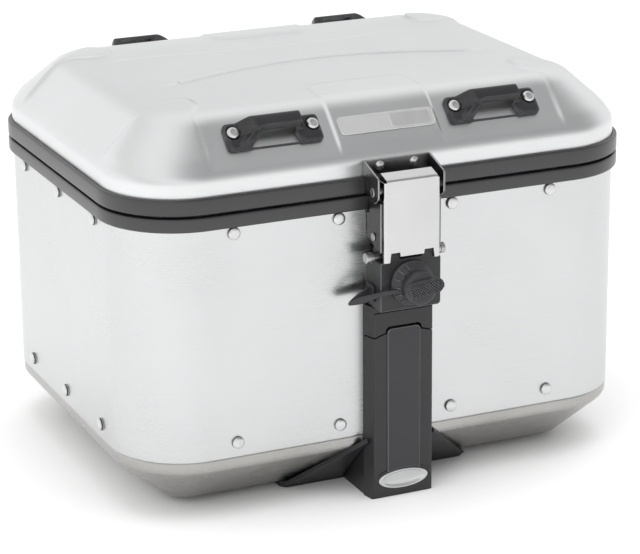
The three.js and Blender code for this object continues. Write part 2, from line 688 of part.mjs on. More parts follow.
function carryHandle() {
  const back = -182;
  const outline = [
    [COLUMN_FRONT_Y, HANDLE_FOOT_Z], [back - 2, HANDLE_FOOT_Z], [back, HANDLE_FOOT_Z + 2], [back, 133],
    [-179.6, 138], [-179, HANDLE_PIVOT.z], [-180, 147.2], [-182.6, HANDLE_TOP_Z - 0.4],
    [-185.5, HANDLE_TOP_Z], [COLUMN_FRONT_Y, HANDLE_TOP_Z],
  ];
  const bar = extrudeX(outline, -HANDLE_HALF_WIDTH, HANDLE_HALF_WIDTH);
  const bore = rodX(1.8, -20, 20, HANDLE_PIVOT.y, HANDLE_PIVOT.z, 12);
  return cut(bar, bore);
}

function handlePin() {
  return rodX(1.5, -21.6, 21.6, HANDLE_PIVOT.y, HANDLE_PIVOT.z, 12);
}

/** Oval push button with a dished face. */
function releaseButton() {
  const profile = [[0, 1.4], [0.5, 1], [0.92, 0], [1, 0.8], [1, 12], [0.2, 12], [0.2, 14], [0, 14]];
  const geometry = turned(profile, 24);
  geometry.rotateX(Math.PI / 2);
  geometry.scale(BUTTON.halfWidth, -1, BUTTON.halfHeight);
  geometry.translate(0, COLUMN_FRONT_Y - 0.6, BUTTON.z);
  return solid(geometry);
}

/** Return spring behind the button, drawn at its pressed length. */
function buttonSpring() {
  const [turns, radius, length, start] = [3, 4.6, 5, -166.2];
  class Helix extends THREE.Curve {
    getPoint(t) {
      const angle = t * turns * 2 * Math.PI;
      const [x, z] = [radius * Math.cos(angle), BUTTON.z + radius * Math.sin(angle)];
      return new THREE.Vector3(x, start - t * length, z);
    }
  }
  const wire = new THREE.Shape();
  wire.absarc(0, 0, 0.6, 0, 2 * Math.PI, false);
  return solid(new THREE.ExtrudeGeometry(wire, {
    extrudePath: new Helix(), steps: 30, curveSegments: 2, bevelEnabled: false,
  }));
}

/** Hook that catches the carrier; it swings up when the button is pressed. */
function releaseHook() {
  const outline = [
    [-161, 4], [-152.5, 3.6], [-149, 6], [-144.5, 5.4], [-141.5, 2.2], [-138.5, 3.4], [-141, 8.2],
    [-150.5, 12.4], [-157, 13.6], [-161, 12],
  ];
  return cut(extrudeX(outline, -5.8, 5.8), rodX(1.8, -9, 9, RELEASE_PIVOT.y, RELEASE_PIVOT.z, 12));
}

function releasePin() {
  return rodX(1.5, -12.1, 12.1, RELEASE_PIVOT.y, RELEASE_PIVOT.z, 12);
}

// ---------------------------------------------------------------- mounting plate

const PLATE_HALF_WIDTH = 97;
const PLATE_FRONT_Y = FOOT_BACK_Y + 0.5;
const PLATE_REAR_Y = 118;

function basePlate() {
  const plan = roundedRectangle(2 * PLATE_HALF_WIDTH, PLATE_REAR_Y - PLATE_FRONT_Y, 8);
  const middle = new THREE.Vector3(0, (PLATE_REAR_Y + PLATE_FRONT_Y) / 2, 0);
  const plate = extrude(plan, BASE_THICKNESS, X, Y, Z, middle);
  const slots = [-1, 1].map((side) => box(side * 50 - 21, side * 50 + 21, 84, 96, -1, 10));
  return cut(join(plate, chamferWing(), mirrorX(chamferWing())), ...slots);
}

/** Three-cornered flange that climbs the chamfer beside the column. */
function chamferWing() {
  const up = new THREE.Vector3(0, 2 - CHAMFER_INSET, CHAMFER_TOP_Z - FLOOR_Z).normalize();
  const out = new THREE.Vector3().crossVectors(X, up);
  const root = COLUMN_ROOT_HALF_WIDTH + 0.6;
  const outline = [
    [root, -4], [PLATE_HALF_WIDTH - 8, -4], [PLATE_HALF_WIDTH - 1, 0], [PLATE_HALF_WIDTH - 6, 5], [root, 62],
  ];
  const foot = new THREE.Vector3(0, CHAMFER_INSET - WALL_Y, FLOOR_Z).addScaledVector(out, 1.2);
  return extrude(outline, 3, X, up, out, foot);
}

function mirrorX(body) {
  return solid(toGeometry(body).applyMatrix4(new THREE.Matrix4().makeScale(-1, 1, 1)));
}

// ---------------------------------------------------------------- hinges

/** Leaf below (side -1) or above (side +1) the split, bent out round the band to the knuckle. */
function hingeLeaf(centreX, side, plateEnd, knuckles) {
  const wall = WALL_Y + GAP;
  const band = WALL_Y + BAND_PROUD + 0.7;
  const bandEnd = side < 0 ? BAND_FOOT_Z : BAND_TOP_Z;
  const axis = HINGE_AXIS.z;
  const outline = [
    [wall, plateEnd], [wall, bandEnd + side * 1.6], [band, bandEnd + side * 0.4], [band, axis + side * 5],
    [band + 2, axis + side * 5], [band + 2, bandEnd + side * 1.2], [wall + 2, bandEnd + side * 3],
    [wall + 2, plateEnd],
  ];
  const [x0, x1] = [centreX - HINGE_WIDTH / 2, centreX + HINGE_WIDTH / 2];
  const bodies = [extrudeX(outline, x0, x1)];
  const reach = [axis, axis + side * 5.5];
  for (const [from, to] of knuckles) {
    bodies.push(rodX(KNUCKLE_RADIUS, x0 + from, x0 + to, HINGE_AXIS.y, axis));
    bodies.push(box(x0 + from, x0 + to, band, band + 2, Math.min(...reach), Math.max(...reach)));
  }
  return cut(join(...bodies), rodX(2.3, x0 - 1, x1 + 1, HINGE_AXIS.y, axis));
}

function hingePin(centreX) {
  return rodX(2, centreX - HINGE_WIDTH / 2 - 1, centreX + HINGE_WIDTH / 2 + 1, HINGE_AXIS.y, HINGE_AXIS.z);
}

// ---------------------------------------------------------------- assembly

const topCase = new THREE.Group();

function addPart(name, shape, look) {
  const geometry = shape.isBufferGeometry ? shape : toGeometry(shape);
  const mesh = new THREE.Mesh(geometry, look);
  mesh.name = name;
  topCase.add(mesh);
}

addPart('case_wall', caseWall(), aluminium);
addPart('bottom_pan', bottomPan(), darkAluminium);
addPart('case_frame', caseFrame(), blackPlastic);
addPart('base_plate', basePlate(), blackPlastic);
for (const [side, place] of Object.entries(SIDES)) {
  addPart(`upper_rivets_${side}`, rivetRow(place, UPPER_RIVET_Z, FRAME_INNER_INSET), steel);
  addPart(`lower_rivets_${side}`, rivetRow(place, LOWER_RIVET_Z, PAN_INNER_INSET), steel);
}

addPart('lid_shell', lidShell(), aluminium);
addPart('lid_frame', lidFrame(), blackPlastic);
addPart('lid_seal', lidSeal(), rubber);
addPart('lid_badge', badge(), silverPlastic);
for (const place of LOOP_PLACES) {
  addPart(`tie_down_loop_${place.name}`, tieDownLoop(place), blackPlastic);
  addPart(`loop_bolt_${place.name}_a`, loopBolt(place, -1), steel);
  addPart(`loop_bolt_${place.name}_b`, loopBolt(place, 1), steel);
}

addPart('latch_bracket', latchBracket(), steel);
addPart('bracket_rivet_left', bracketRivet(BRACKET_RIVETS[0]), steel);
addPart('bracket_rivet_right', bracketRivet(BRACKET_RIVETS[1]), steel);
const pivotPin = headedPin(LATCH_PIVOT, PIN_RADIUS, 3.8, EAR_OUTER_X + GAP, EAR_OUTER_X + 1.5);
const hookRivet = headedPin(HOOK_RIVET, PIN_RADIUS, 3.6, HOOK_OUTER_X + GAP, HOOK_OUTER_X + 1.3);
addPart('latch_pivot_pin', pivotPin, steel);
addPart('latch_lever', latchLever(), steel);
addPart('latch_hook', latchHook(), steel);
addPart('latch_hook_rivet', hookRivet, steel);

addPart('catch_bar', catchBar(), steel);
addPart('lock_housing', lockHousing(), blackPlastic);
addPart('lock_cylinder', lockCylinder(), steel);
addPart('dust_cap', dustCap(), rubber);
addPart('cap_tether', capTether(), rubber);
addPart('tether_anchor', tetherAnchor(), rubber);

addPart('column_shoulder', columnShoulder(), blackPlastic);
addPart('lock_column', columnBody(), blackPlastic);
addPart('carry_handle', carryHandle(), blackPlastic);
addPart('handle_pin', handlePin(), steel);
addPart('release_button', releaseButton(), silverPlastic);
addPart('button_spring', buttonSpring(), steel);
addPart('release_hook', releaseHook(), steel);
addPart('release_hook_pin', releasePin(), steel);

for (const [side, centreX] of [['left', -HINGE_X], ['right', HINGE_X]]) {
  addPart(`hinge_case_leaf_${side}`, hingeLeaf(centreX, -1, 226, [[0, 20], [40, 60]]), blackPlastic);
  addPart(`hinge_lid_leaf_${side}`, hingeLeaf(centreX, 1, 291, [[20.4, 39.6]]), blackPlastic);
  addPart(`hinge_pin_${side}`, hingePin(centreX), steel);
}

export default topCase;
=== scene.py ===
"""Looks of a motorcycle top case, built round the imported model.

Shapes are worked out in millimetres in the model's own frame (+Z up, lock side towards -Y)
and scaled to metres when a mesh is made.
"""

from math import acos, atan2, ceil, copysign, cos, pi, radians, sin, sqrt, tan

import bmesh
import bpy
import numpy as np
from mathutils import Matrix, Vector


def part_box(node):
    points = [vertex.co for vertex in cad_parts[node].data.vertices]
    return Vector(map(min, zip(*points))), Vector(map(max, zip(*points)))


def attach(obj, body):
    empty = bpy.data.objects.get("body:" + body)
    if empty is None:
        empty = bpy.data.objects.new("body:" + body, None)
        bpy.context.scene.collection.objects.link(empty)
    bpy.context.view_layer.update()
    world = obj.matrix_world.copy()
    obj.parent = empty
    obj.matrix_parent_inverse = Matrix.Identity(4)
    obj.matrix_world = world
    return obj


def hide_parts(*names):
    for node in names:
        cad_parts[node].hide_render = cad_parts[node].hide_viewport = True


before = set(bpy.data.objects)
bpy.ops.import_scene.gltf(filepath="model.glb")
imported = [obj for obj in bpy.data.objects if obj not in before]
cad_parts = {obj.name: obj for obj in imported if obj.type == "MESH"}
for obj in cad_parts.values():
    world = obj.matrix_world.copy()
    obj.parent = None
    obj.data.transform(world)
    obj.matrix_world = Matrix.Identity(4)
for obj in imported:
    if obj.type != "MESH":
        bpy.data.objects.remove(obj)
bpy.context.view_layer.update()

MM = 0.001


def corners(node):
    """Lowest and highest corner of a CAD node in millimetres."""
    lo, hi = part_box(node)
    return np.array(lo) / MM, np.array(hi) / MM


# ---- sizes taken from the frame

WALL_LO, WALL_HI = corners("case_wall")
WALL_X, WALL_Y = WALL_HI[0], WALL_HI[1]
PAN_LO, PAN_HI = corners("bottom_pan")
LID_LO, _ = corners("lid_shell")
SEAL_LO, SEAL_HI = corners("lid_seal")
BAND_PROUD = corners("case_frame")[1][0] - WALL_X

LOWER_BAND_END, UPPER_BAND_END = 251, 278

CORNER_RADIUS = 65
SHEET = 2

# ---- materials


class Nodes:
    """Adds nodes to a tree; each input takes a value or another node's output."""

    def __init__(self, tree):
        self.tree = tree

    def add(self, kind, inputs=(), **settings):
        node = self.tree.nodes.new("ShaderNode" + kind)
        for key, value in settings.items():
            setattr(node, key, value)
        self.feed(node, inputs)
        return node

    def feed(self, node, inputs):
        for socket, value in dict(inputs).items():
            if isinstance(value, bpy.types.NodeSocket):
                self.tree.links.new(value, node.inputs[socket])
            else:
                node.inputs[socket].default_value = value

    def ramp(self, factor, stops):
        """Colour through stops of (position, colour); the first two stops are the outer ones."""
        node = self.add("ValToRGB", {"Fac": factor})
        elements = node.color_ramp.elements
        for number, (position, colour) in enumerate(stops):
            stop = elements[number] if number < 2 else elements.new(position)
            stop.position = position
            stop.color = (*colour, 1)
        return node.outputs["Color"]

    def spread(self, factor, from_low, from_high, low, high):
        ends = {"From Min": from_low, "From Max": from_high, "To Min": low, "To Max": high}
        return self.add("MapRange", {"Value": factor, **ends}).outputs["Result"]


class Look(Nodes):
    """A procedural material and the record's material slot it stands for."""

    def __init__(self, name, slot, tones, roughness, metallic=0.0, cloud=14, grain=(2600, 2600, 2600),
            bump=0.1, depth=0.00006, wear=None, **sockets):
        self.slot = slot
        self.material = bpy.data.materials.new(name)
        self.material.use_nodes = True
        super().__init__(self.material.node_tree)
        self.place = self.add("TexCoord").outputs["Object"]
        clouds, fine = self.noise((cloud, cloud, cloud), 3), self.noise(grain, 2)
        blend = self.add("Mix", {0: 0.35, 2: clouds, 3: fine}, data_type="FLOAT").outputs[0]
        colour = self.ramp(blend, zip((0.35, 0.65), tones))
        if wear:
            colour = self.worn(colour, wear)
        bumps = self.add("Bump", {"Strength": bump, "Distance": depth, "Height": fine})
        shader = self.tree.nodes["Principled BSDF"]
        self.feed(shader, {"Base Color": colour, "Metallic": metallic, "Normal": bumps.outputs["Normal"]})
        self.feed(shader, {"Roughness": self.spread(blend, 0.3, 0.7, *roughness)})
        self.feed(shader, {socket.replace("_", " "): value for socket, value in sockets.items()})

    def noise(self, scale, detail):
        """Noise that is stretched by giving each axis its own scale, in cycles per metre."""
        place = self.add("Mapping", {"Scale": scale, "Vector": self.place}).outputs["Vector"]
        return self.add("TexNoise", {"Scale": 1, "Detail": detail, "Vector": place}).outputs["Fac"]

    def worn(self, colour, wear):
        """Convex edges rub to a lighter tone, in patches."""
        edge = self.spread(self.add("NewGeometry").outputs["Pointiness"], 0.52, 0.60, 0, 1)
        patches = self.spread(self.noise((90, 90, 90), 4), 0.4, 0.6, 0.15, 0.8)
        share = self.add("Math", {0: edge, 1: patches}, operation="MULTIPLY").outputs["Value"]
        return self.add("Mix", {0: share, 6: colour, 7: (*wear, 1)}, data_type="RGBA").outputs[2]


def tone(value, tint=(1, 1, 1)):
    return tuple(value * t for t in tint)


COOL = (0.985, 0.995, 1.0)
WARM = (1.0, 0.985, 0.955)
INK = (0.97, 0.97, 1.08)


def metal(name, slot, dark, light, roughness, cloud, grain=(2600, 2600, 2600),
        tint=(1, 1, 1), metallic=1.0, **more):
    return Look(name, slot, (tone(dark, tint), tone(light, tint)), roughness, metallic, cloud, grain, **more)


def plastic(name, slot, dark, light, roughness, grain, depth=0.00006, **more):
    tones = (tone(dark, INK), tone(light, INK))
    return Look(name, slot, tones, roughness, grain=(grain, grain, grain), depth=depth, **more)


wall_metal = metal("wall_aluminium", "case_aluminium", 0.595, 0.635, (0.26, 0.32), 11, (37, 43, 3100), COOL,
    bump=0.015, depth=0.00003, Anisotropic=0.5)
lid_metal = metal("lid_aluminium", "lid_aluminium", 0.70, 0.735, (0.30, 0.36), 13, (3600, 3600, 3600), COOL,
    bump=0.05, depth=0.00003)
# Darker than the wall: partly the pan's own tone, partly painted shade for the chamfer that lies under the
# box.
pan_metal_and_painted_shade = metal("pan_aluminium", "pan_aluminium", 0.38, 0.44, (0.24, 0.32), 17, (90, 90, 4200), WARM,
    bump=0.06, depth=0.00004)
# Polished steel of the lever; on the latch bracket and hook it also paints the rounded edges as a painted
# highlight.
bright_steel_and_highlight = metal("bright_steel_and_highlight", "polished_steel", 0.56, 0.60, (0.13, 0.20), 30, (3000, 200, 200),
    bump=0.03, depth=0.00002)
# The bracket's polished steel painted dark: painted shade on the bracket and its ears.
ear_steel_painted_shade = metal("ear_steel_painted_shade", "polished_steel", 0.14, 0.20, (0.24, 0.36), 60, (900, 300, 1200),
    bump=0.06, depth=0.00003)
dark_steel = metal("dark_steel", "dark_steel", 0.07, 0.11, (0.28, 0.42), 60, (900, 300, 1200),
    bump=0.06, depth=0.00003)
rivet_steel = metal("rivet_steel", "rivet_steel", 0.58, 0.70, (0.24, 0.36), 240, bump=0.12, depth=0.00005)
# Dark copy of the rivet steel for the heads' steep sides: a painted shade ring round each head.
rivet_side_painted_shade = metal("rivet_side_painted_shade", "rivet_steel", 0.05, 0.09, (0.34, 0.46), 240, depth=0.00004)
zinc_steel = metal("zinc_steel", "zinc_steel", 0.42, 0.54, (0.24, 0.36), 160, depth=0.00004)
lock_chrome = metal("lock_chrome", "brass_chrome", 0.70, 0.78, (0.14, 0.24), 160, bump=0.05, depth=0.00003)
button_plastic = metal("button_plastic", "silver_plastic", 0.56, 0.62, (0.16, 0.24), 40, (3000, 3000, 3000),
    COOL, metallic=0.75, bump=0.05, depth=0.00003)
badge_light = metal("badge_light", "badge_plastic", 0.74, 0.78, (0.34, 0.42), 60, (2400, 2400, 2400),
    metallic=0.85, depth=0.00004)
badge_dark = metal("badge_dark", "badge_plastic", 0.62, 0.66, (0.34, 0.42), 60, (2400, 2400, 2400),
    metallic=0.85, depth=0.00004)
band_plastic = plastic("band_plastic", "black_plastic", 0.012, 0.016, (0.30, 0.36), 1900, 0.00005, bump=0.12,
    wear=tone(0.06, INK), Specular_IOR_Level=0.8)
column_plastic = plastic("column_plastic", "black_plastic", 0.016, 0.020, (0.40, 0.45),
    1500, 0.00008, bump=0.22)
# Lighter copy of the black plastic for rounded edges and knurl tops: a painted highlight.
painted_highlight_plastic = plastic("painted_highlight_plastic", "black_plastic", 0.13, 0.17, (0.34, 0.42), 1500, bump=0.15)
handle_plastic = plastic("handle_plastic", "handle_plastic", 0.024, 0.028, (0.42, 0.46),
    1500, 0.00008, bump=0.22)
loop_plastic = plastic("loop_plastic", "loop_plastic", 0.014, 0.019, (0.30, 0.40), 1700,
    bump=0.15, wear=tone(0.10, INK))
rubber = plastic("rubber", "rubber", 0.022, 0.028, (0.42, 0.52), 2200, bump=0.2, wear=tone(0.10, INK))

# ---- mesh helpers (millimetres)

AXES = {"x": lambda u, v, w: (w, u, v), "y": lambda u, v, w: (u, w, v), "z": lambda u, v, w: (u, v, w)}


def fillet(points, steps=5):
    """A closed outline with rounded corners; a point is (u, v) or (u, v, radius)."""
    rounded = []
    for i, point in enumerate(points):
        corner = np.array(point[:2], float)
        if len(point) < 3 or point[2] == 0:
            rounded.append(tuple(corner))
            continue
        back = np.array(points[i - 1][:2], float) - corner
        ahead = np.array(points[(i + 1) % len(points)][:2], float) - corner
        back_length, ahead_length = np.linalg.norm(back), np.linalg.norm(ahead)
        back, ahead = back / back_length, ahead / ahead_length
        half = acos(max(-1.0, min(1.0, float(back @ ahead)))) / 2
        reach = min(point[2] / tan(half), 0.49 * back_length, 0.49 * ahead_length)
        radius = reach * tan(half)
        middle = back + ahead
        centre = corner + middle / np.linalg.norm(middle) * radius / sin(half)
        first = corner + back * reach - centre
        last = corner + ahead * reach - centre
        start = atan2(first[1], first[0])
        turn = (atan2(last[1], last[0]) - start + pi) % (2 * pi) - pi
        for k in range(steps + 1):
            angle = start + turn * k / steps
            rounded.append((centre[0] + radius * cos(angle), centre[1] + radius * sin(angle)))
    return rounded


def prism(outline, axis, start, end):
    """An outline extruded along an axis. Outlines are (y, z), (x, z) or (x, y) for x, y and z."""
    place = AXES[axis]
    count = len(outline)
    verts = [place(u, v, w) for w in (start, end) for u, v in outline]
    faces = [list(range(count)), list(range(count, 2 * count))]
    faces += [[i, (i + 1) % count, count + (i + 1) % count, count + i] for i in range(count)]
    return verts, faces


def rounded_rectangle(u0, u1, v0, v1, radius, steps=5):
    return fillet([(u0, v0, radius), (u1, v0, radius), (u1, v1, radius), (u0, v1, radius)], steps)


def angles(steps):
    """Evenly spaced angles once round."""
    return np.linspace(0, 2 * pi, steps, endpoint=False)


def slab(outer, inner, columns, is_open=lambda j, i: False):
    """Closed solid between two grids of points, with walls at its outline and round its open cells."""
    width, total = columns + 1, len(outer)
    rows = total // width - 1
    faces = []
    for j, i in ((j, i) for j in range(rows) for i in range(columns) if not is_open(j, i)):
        a = j * width + i
        face = [a, a + 1, a + width + 1, a + width]
        faces += [face, [total + p for p in reversed(face)]]
        for k, (nj, ni) in enumerate(((j - 1, i), (j, i + 1), (j + 1, i), (j, i - 1))):
            if not (0 <= nj < rows and 0 <= ni < columns) or is_open(nj, ni):
                p, q = face[k], face[(k + 1) % 4]
                faces.append([q, p, total + p, total + q])
    return [tuple(p) for p in (*outer, *inner)], faces


def box(x0, x1, y0, y1, z0, z1):
    return prism([(x0, y0), (x1, y0), (x1, y1), (x0, y1)], "z", z0, z1)


def loft(rings, closed=False, caps=True):
    """Skin through rings of equal length; closed joins the last ring to the first."""
    count = len(rings[0])
    verts = [tuple(float(c) for c in point) for ring_points in rings for point in ring_points]
    faces = []
    for k in range(len(rings) if closed else len(rings) - 1):
        a, b = k * count, (k + 1) % len(rings) * count
        faces += [[a + i, a + (i + 1) % count, b + (i + 1) % count, b + i] for i in range(count)]
    if caps and not closed:
        faces.append(list(range(count)))
        faces.append(list(range((len(rings) - 1) * count, len(rings) * count)))
    return verts, faces


def moved(part, matrix):
    verts, faces = part
    return [tuple(matrix @ Vector(v)) for v in verts], faces


def laid(right, up, out, place):
    """Matrix that lays local X, Y and Z along three directions, at a place."""
    matrix = Matrix((right, up, out)).transposed().to_4x4()
    matrix.translation = place
    return matrix


def pointing(direction, centre):
    """Matrix that lays local +Z along a direction, at a centre."""
    turn = Vector((0, 0, 1)).rotation_difference(Vector(direction)).to_matrix().to_4x4()
    return Matrix.Translation(Vector(centre)) @ turn


def spin(profile, direction, centre, steps=40, sides=None, sided_from=None):
    """Solid of revolution from (radius, height) points.

    Points from number sided_from on get a polygon with that many sides instead of a circle.
    """
    rings = []
    for number, (radius, height) in enumerate(profile):
        reach = [radius] * steps
        if sides and number >= sided_from:
            reach = [radius / cos(a % (2 * pi / sides) - pi / sides) for a in angles(steps)]
        rings.append([(r * cos(a), r * sin(a), height) for a, r in zip(angles(steps), reach)])
    return moved(loft(rings), pointing(direction, centre))


def rod(radius, start, end, direction, centre, steps):
    return spin([(0, start), (radius, start), (radius, end), (0, end)], direction, centre, steps)


def bend(half, front, wide, deep, steps):
    """A quarter turn from the front face at y = front to the side face at x = half."""
    turn = [pi / 2 * k / steps for k in range(steps + 1)]
    return [(half - wide + wide * sin(a), front + deep - deep * cos(a)) for a in turn]


def with_neighbours(run):
    """(point before, point, point after) for each point of an open run."""
    return zip([run[0], *run], run, [*run[1:], run[-1]])


def mirrored(part):
    verts, faces = part
    return [(-x, y, z) for x, y, z in verts], [face[::-1] for face in faces]


def smooth_mesh(name, made):
    """Turns a bmesh into a mesh with smooth faces."""
    mesh = bpy.data.meshes.new(name)
    made.to_mesh(mesh)
    made.free()
    mesh.polygons.foreach_set("use_smooth", [True] * len(mesh.polygons))
    return mesh


def build_mesh(name, parts):
    made = bmesh.new()
    for verts, faces in parts:
        fresh = bmesh.new()
        points = [fresh.verts.new(Vector(v) * MM) for v in verts]
        for face in faces:
            fresh.faces.new([points[i] for i in face])
        bmesh.ops.remove_doubles(fresh, verts=fresh.verts, dist=0.002 * MM)
        bmesh.ops.recalc_face_normals(fresh, faces=fresh.faces)
        part_mesh = bpy.data.meshes.new("part")
        fresh.to_mesh(part_mesh)
        fresh.free()
        made.from_mesh(part_mesh)
        bpy.data.meshes.remove(part_mesh)
    return smooth_mesh(name, made)


def in_scene(name, data):
    made = bpy.data.objects.new(name, data)
    bpy.context.scene.collection.objects.link(made)
    return made


def stand_in(made, body, nodes, bevel, segments, angle=32, edge=None):
    """Rounds a piece's edges, and lets it stand for the CAD nodes and ride on a body."""
    if bevel:
        rounding = made.modifiers.new("edges", "BEVEL")
        rounding.width = bevel * MM
        rounding.segments = segments
        rounding.limit_method = "ANGLE"
        rounding.angle_limit = radians(angle)
        rounding.harden_normals = True
        # Where a second look is given, the rounded edges take it: a painted highlight along the edges.
        rounding.material = 1 if edge else -1
    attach(made, body)
    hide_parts(*([nodes] if isinstance(nodes, str) else nodes))
    return made


def piece(name, parts, body, look, nodes, bevel=0.0, segments=3, edge=None, sharp=None, sheet=0.0, carve=()):
    """A visible piece: its parts become one mesh, cut, thickened and rounded as asked."""
    made = in_scene(name, build_mesh(name, parts))
    for painted in (look, edge) if edge else (look,):
        made.data.materials.append(painted.material)
    if carve:
        cut_out(made, carve)
    if sharp:
        made.data.set_sharp_from_angle(angle=radians(sharp))
    if sheet:
        thick = made.modifiers.new("sheet", "SOLIDIFY")
        thick.thickness = sheet * MM
        thick.offset = -1
    return stand_in(made, body, nodes, bevel, segments, edge=edge)


def cut_out(target, cutters):
    """Takes closed parts out of a piece for good."""
    tool = in_scene("cutter", build_mesh("cutter", cutters))
    cutting = target.modifiers.new("cut", "BOOLEAN")
    cutting.object = tool
    cutting.operation = "DIFFERENCE"
    cutting.solver = "EXACT"
    bpy.context.view_layer.update()
    result = bpy.data.meshes.new_from_object(target.evaluated_get(bpy.context.evaluated_depsgraph_get()))
    target.modifiers.clear()
    target.data = result
    bpy.data.objects.remove(tool)


def refined(node, body, look, bevel):
    """A CAD solid with its flat faces made whole again and its edges rounded."""
    made = bmesh.new()
    made.from_mesh(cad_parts[node].data)
    bmesh.ops.remove_doubles(made, verts=made.verts, dist=0.002 * MM)
    bmesh.ops.dissolve_limit(made, angle_limit=radians(1), verts=made.verts, edges=made.edges)
    mesh = smooth_mesh(node + "_fine", made)
    mesh.materials.append(look.material)
    return stand_in(in_scene(mesh.name, mesh), body, node, bevel, 2, angle=34)


def smoothstep(low, high, value):
    t = np.clip((value - low) / (high - low), 0, 1)
    return t * t * (3 - 2 * t)


# ---- rings round the box

FIXED_X, FIXED_Y = 60, 20
PARALLEL_INSET = 5.5
STRAIGHT_X, STRAIGHT_Y = WALL_X - CORNER_RADIUS, WALL_Y - CORNER_RADIUS


class Rings:
    """Makes rings that follow the rounded outline of the box at any inset, all with the same points."""

    def __init__(self, x_places, y_places, corner_steps, shrink=1.0):
        self.x_places, self.y_places = np.array(x_places, float), np.array(y_places, float)
        self.corner_steps = corner_steps
        self.shrink = shrink

    def radius(self, inset):
        return CORNER_RADIUS - min(inset, PARALLEL_INSET) - max(inset - PARALLEL_INSET, 0) * self.shrink

    @staticmethod
    def stretched(places, fixed, old_end, new_end):
        """Places near the middle stay; those beyond are spread to reach the new end."""
        beyond = fixed + (np.abs(places) - fixed) * (new_end - fixed) / (old_end - fixed)
        return np.where(np.abs(places) <= fixed, places, np.sign(places) * beyond)

    def flat(self, inset):
        """Points and outward normals of the ring at an inset, in plan."""
        radius = self.radius(inset)
        half_x, half_y = WALL_X - inset - radius, WALL_Y - inset - radius
        xs = self.stretched(self.x_places, FIXED_X, STRAIGHT_X, half_x)
        ys = self.stretched(self.y_places, FIXED_Y, STRAIGHT_Y, half_y)
        turn = np.linspace(0, pi / 2, self.corner_steps + 1)[1:-1]
        sine, cosine = np.sin(turn), np.cos(turn)
        points, normals = [], []
        for side in range(4):
            places, depth, ahead = (ys, half_x, half_y) if side % 2 else (xs, half_y, half_x)
            straight = np.stack([places, np.full_like(places, -depth - radius)], 1)
            arc = np.stack([ahead + radius * sine, -depth - radius * cosine], 1)
            outward = np.stack([np.zeros_like(places), -np.ones_like(places)], 1)
            cos_side, sin_side = (1, 0, -1, 0)[side], (0, 1, 0, -1)[side]
            rotate = np.array([[cos_side, sin_side], [-sin_side, cos_side]])
            points += [straight @ rotate, arc @ rotate]
            normals += [outward @ rotate, np.stack([sine, -cosine], 1) @ rotate]
        return np.concatenate(points), np.concatenate(normals)

    def at(self, inset, height):
        points, _ = self.flat(inset)
        return np.column_stack([points, np.full(len(points), height)])


def spaced(end, step, fine=(), fine_step=1.5):
    """Places from -end to end, closer together inside the fine spans on both sides."""
    marks = [0, *[edge for span in fine for edge in span], end]
    half = [0.0]
    for a, b in zip(marks, marks[1:]):
        if b > a:
            count = max(1, ceil((b - a) / (fine_step if (a, b) in fine else step)))
            half += [a + (b - a) * k / count for k in range(1, count + 1)]
    return [-place for place in half[:0:-1]] + half


plain_rings = Rings(spaced(STRAIGHT_X, 11), spaced(STRAIGHT_Y, 11), 20)


def ring_stack(profile):
    """Rings round the box for (inset, height) points."""
    return [plain_rings.at(inset, height) for inset, height in profile]


# ---- case


def case_wall():
    foot, top = WALL_LO[2], WALL_HI[2]
    profile = [(0.9, foot), (0.35, foot + 0.25), (0.08, foot + 0.8), (0, foot + 1.6), (0, foot + 8)]
    profile += [(0, foot + (top - foot) * k / 8) for k in range(1, 8)]
    profile += [(0, top - 0.8), (0, top - 0.3), (0, top)]
    wall = loft(ring_stack(profile), caps=False)
    piece("case_wall_sheet", [wall], "case", wall_metal, "case_wall", sheet=SHEET)


CHAMFER_INSET, CHAMFER_TOP = 43, 46


def bottom_pan():
    floor = PAN_LO[2]
    top, shoulder = PAN_HI[2], WALL_LO[2] - 0.3
    outline = [(2.4, top), (2.4, shoulder + 0.4), (0.9, shoulder + 0.2),
        (0.55, shoulder - 0.6), (0.5, shoulder - 2)]
    sheet = fillet([(0.5, shoulder - 2), (0.5, CHAMFER_TOP - 1, 11), (CHAMFER_INSET + 1, floor, 7),
        (CHAMFER_INSET + 12, floor)], steps=8)
    outline += sheet[1:]
    rings = ring_stack(outline)
    verts, faces = loft(rings, caps=False)
    count = len(rings[0])
    faces.append(list(range(len(verts) - count, len(verts))))
    piece("bottom_pan_drawn", [(verts, faces)], "case", pan_metal_and_painted_shade, "bottom_pan", sheet=SHEET, sharp=50)


def band(name, node, body, side):
    """A U-shaped plastic band: side -1 hangs below the split, +1 stands above it."""
    lo, hi = corners(node)
    face, leg_end, outer_end = (hi[2], lo[2], LOWER_BAND_END) if side < 0 else (lo[2], hi[2], UPPER_BAND_END)
    web = face + side
    profile = fillet([(-BAND_PROUD, outer_end, 1.6), (-BAND_PROUD, face, 1.5), (5, face, 0.8),
        (5, leg_end, 0.8), (2.4, leg_end), (2.4, web), (-0.3, web), (-0.3, outer_end, 0.4)], steps=4)
    piece(name, [loft(ring_stack(profile), closed=True)], body, band_plastic, node, sharp=40)


def seal():
    profile = rounded_rectangle(0.5, 4.5, SEAL_LO[2], SEAL_HI[2], 0.5, 3)
    piece("lid_seal_strip", [loft(ring_stack(profile), closed=True)], "lid", rubber, "lid_seal")


RIVET_RADIUS = 5.3
LONG_SIDE_RIVETS = (-142.9, -51.2, 51.2, 142.9)
SHORT_SIDE_RIVETS = (-88.4, 0, 88.4)
RIVET_HEAD = [(0, 2.75), (1.6, 2.7), (2.9, 2.6), (3.9, 2.4), (4.6, 2.05), (5.0, 1.7), (5.2, 1.3),
    (RIVET_RADIUS, 0.2), (4.9, -0.3), (0, -0.3)]
RIVET_END = [(0, 1.1), (1.6, 0.9), (2.4, 0.2), (2.4, -0.5), (0, -0.5)]


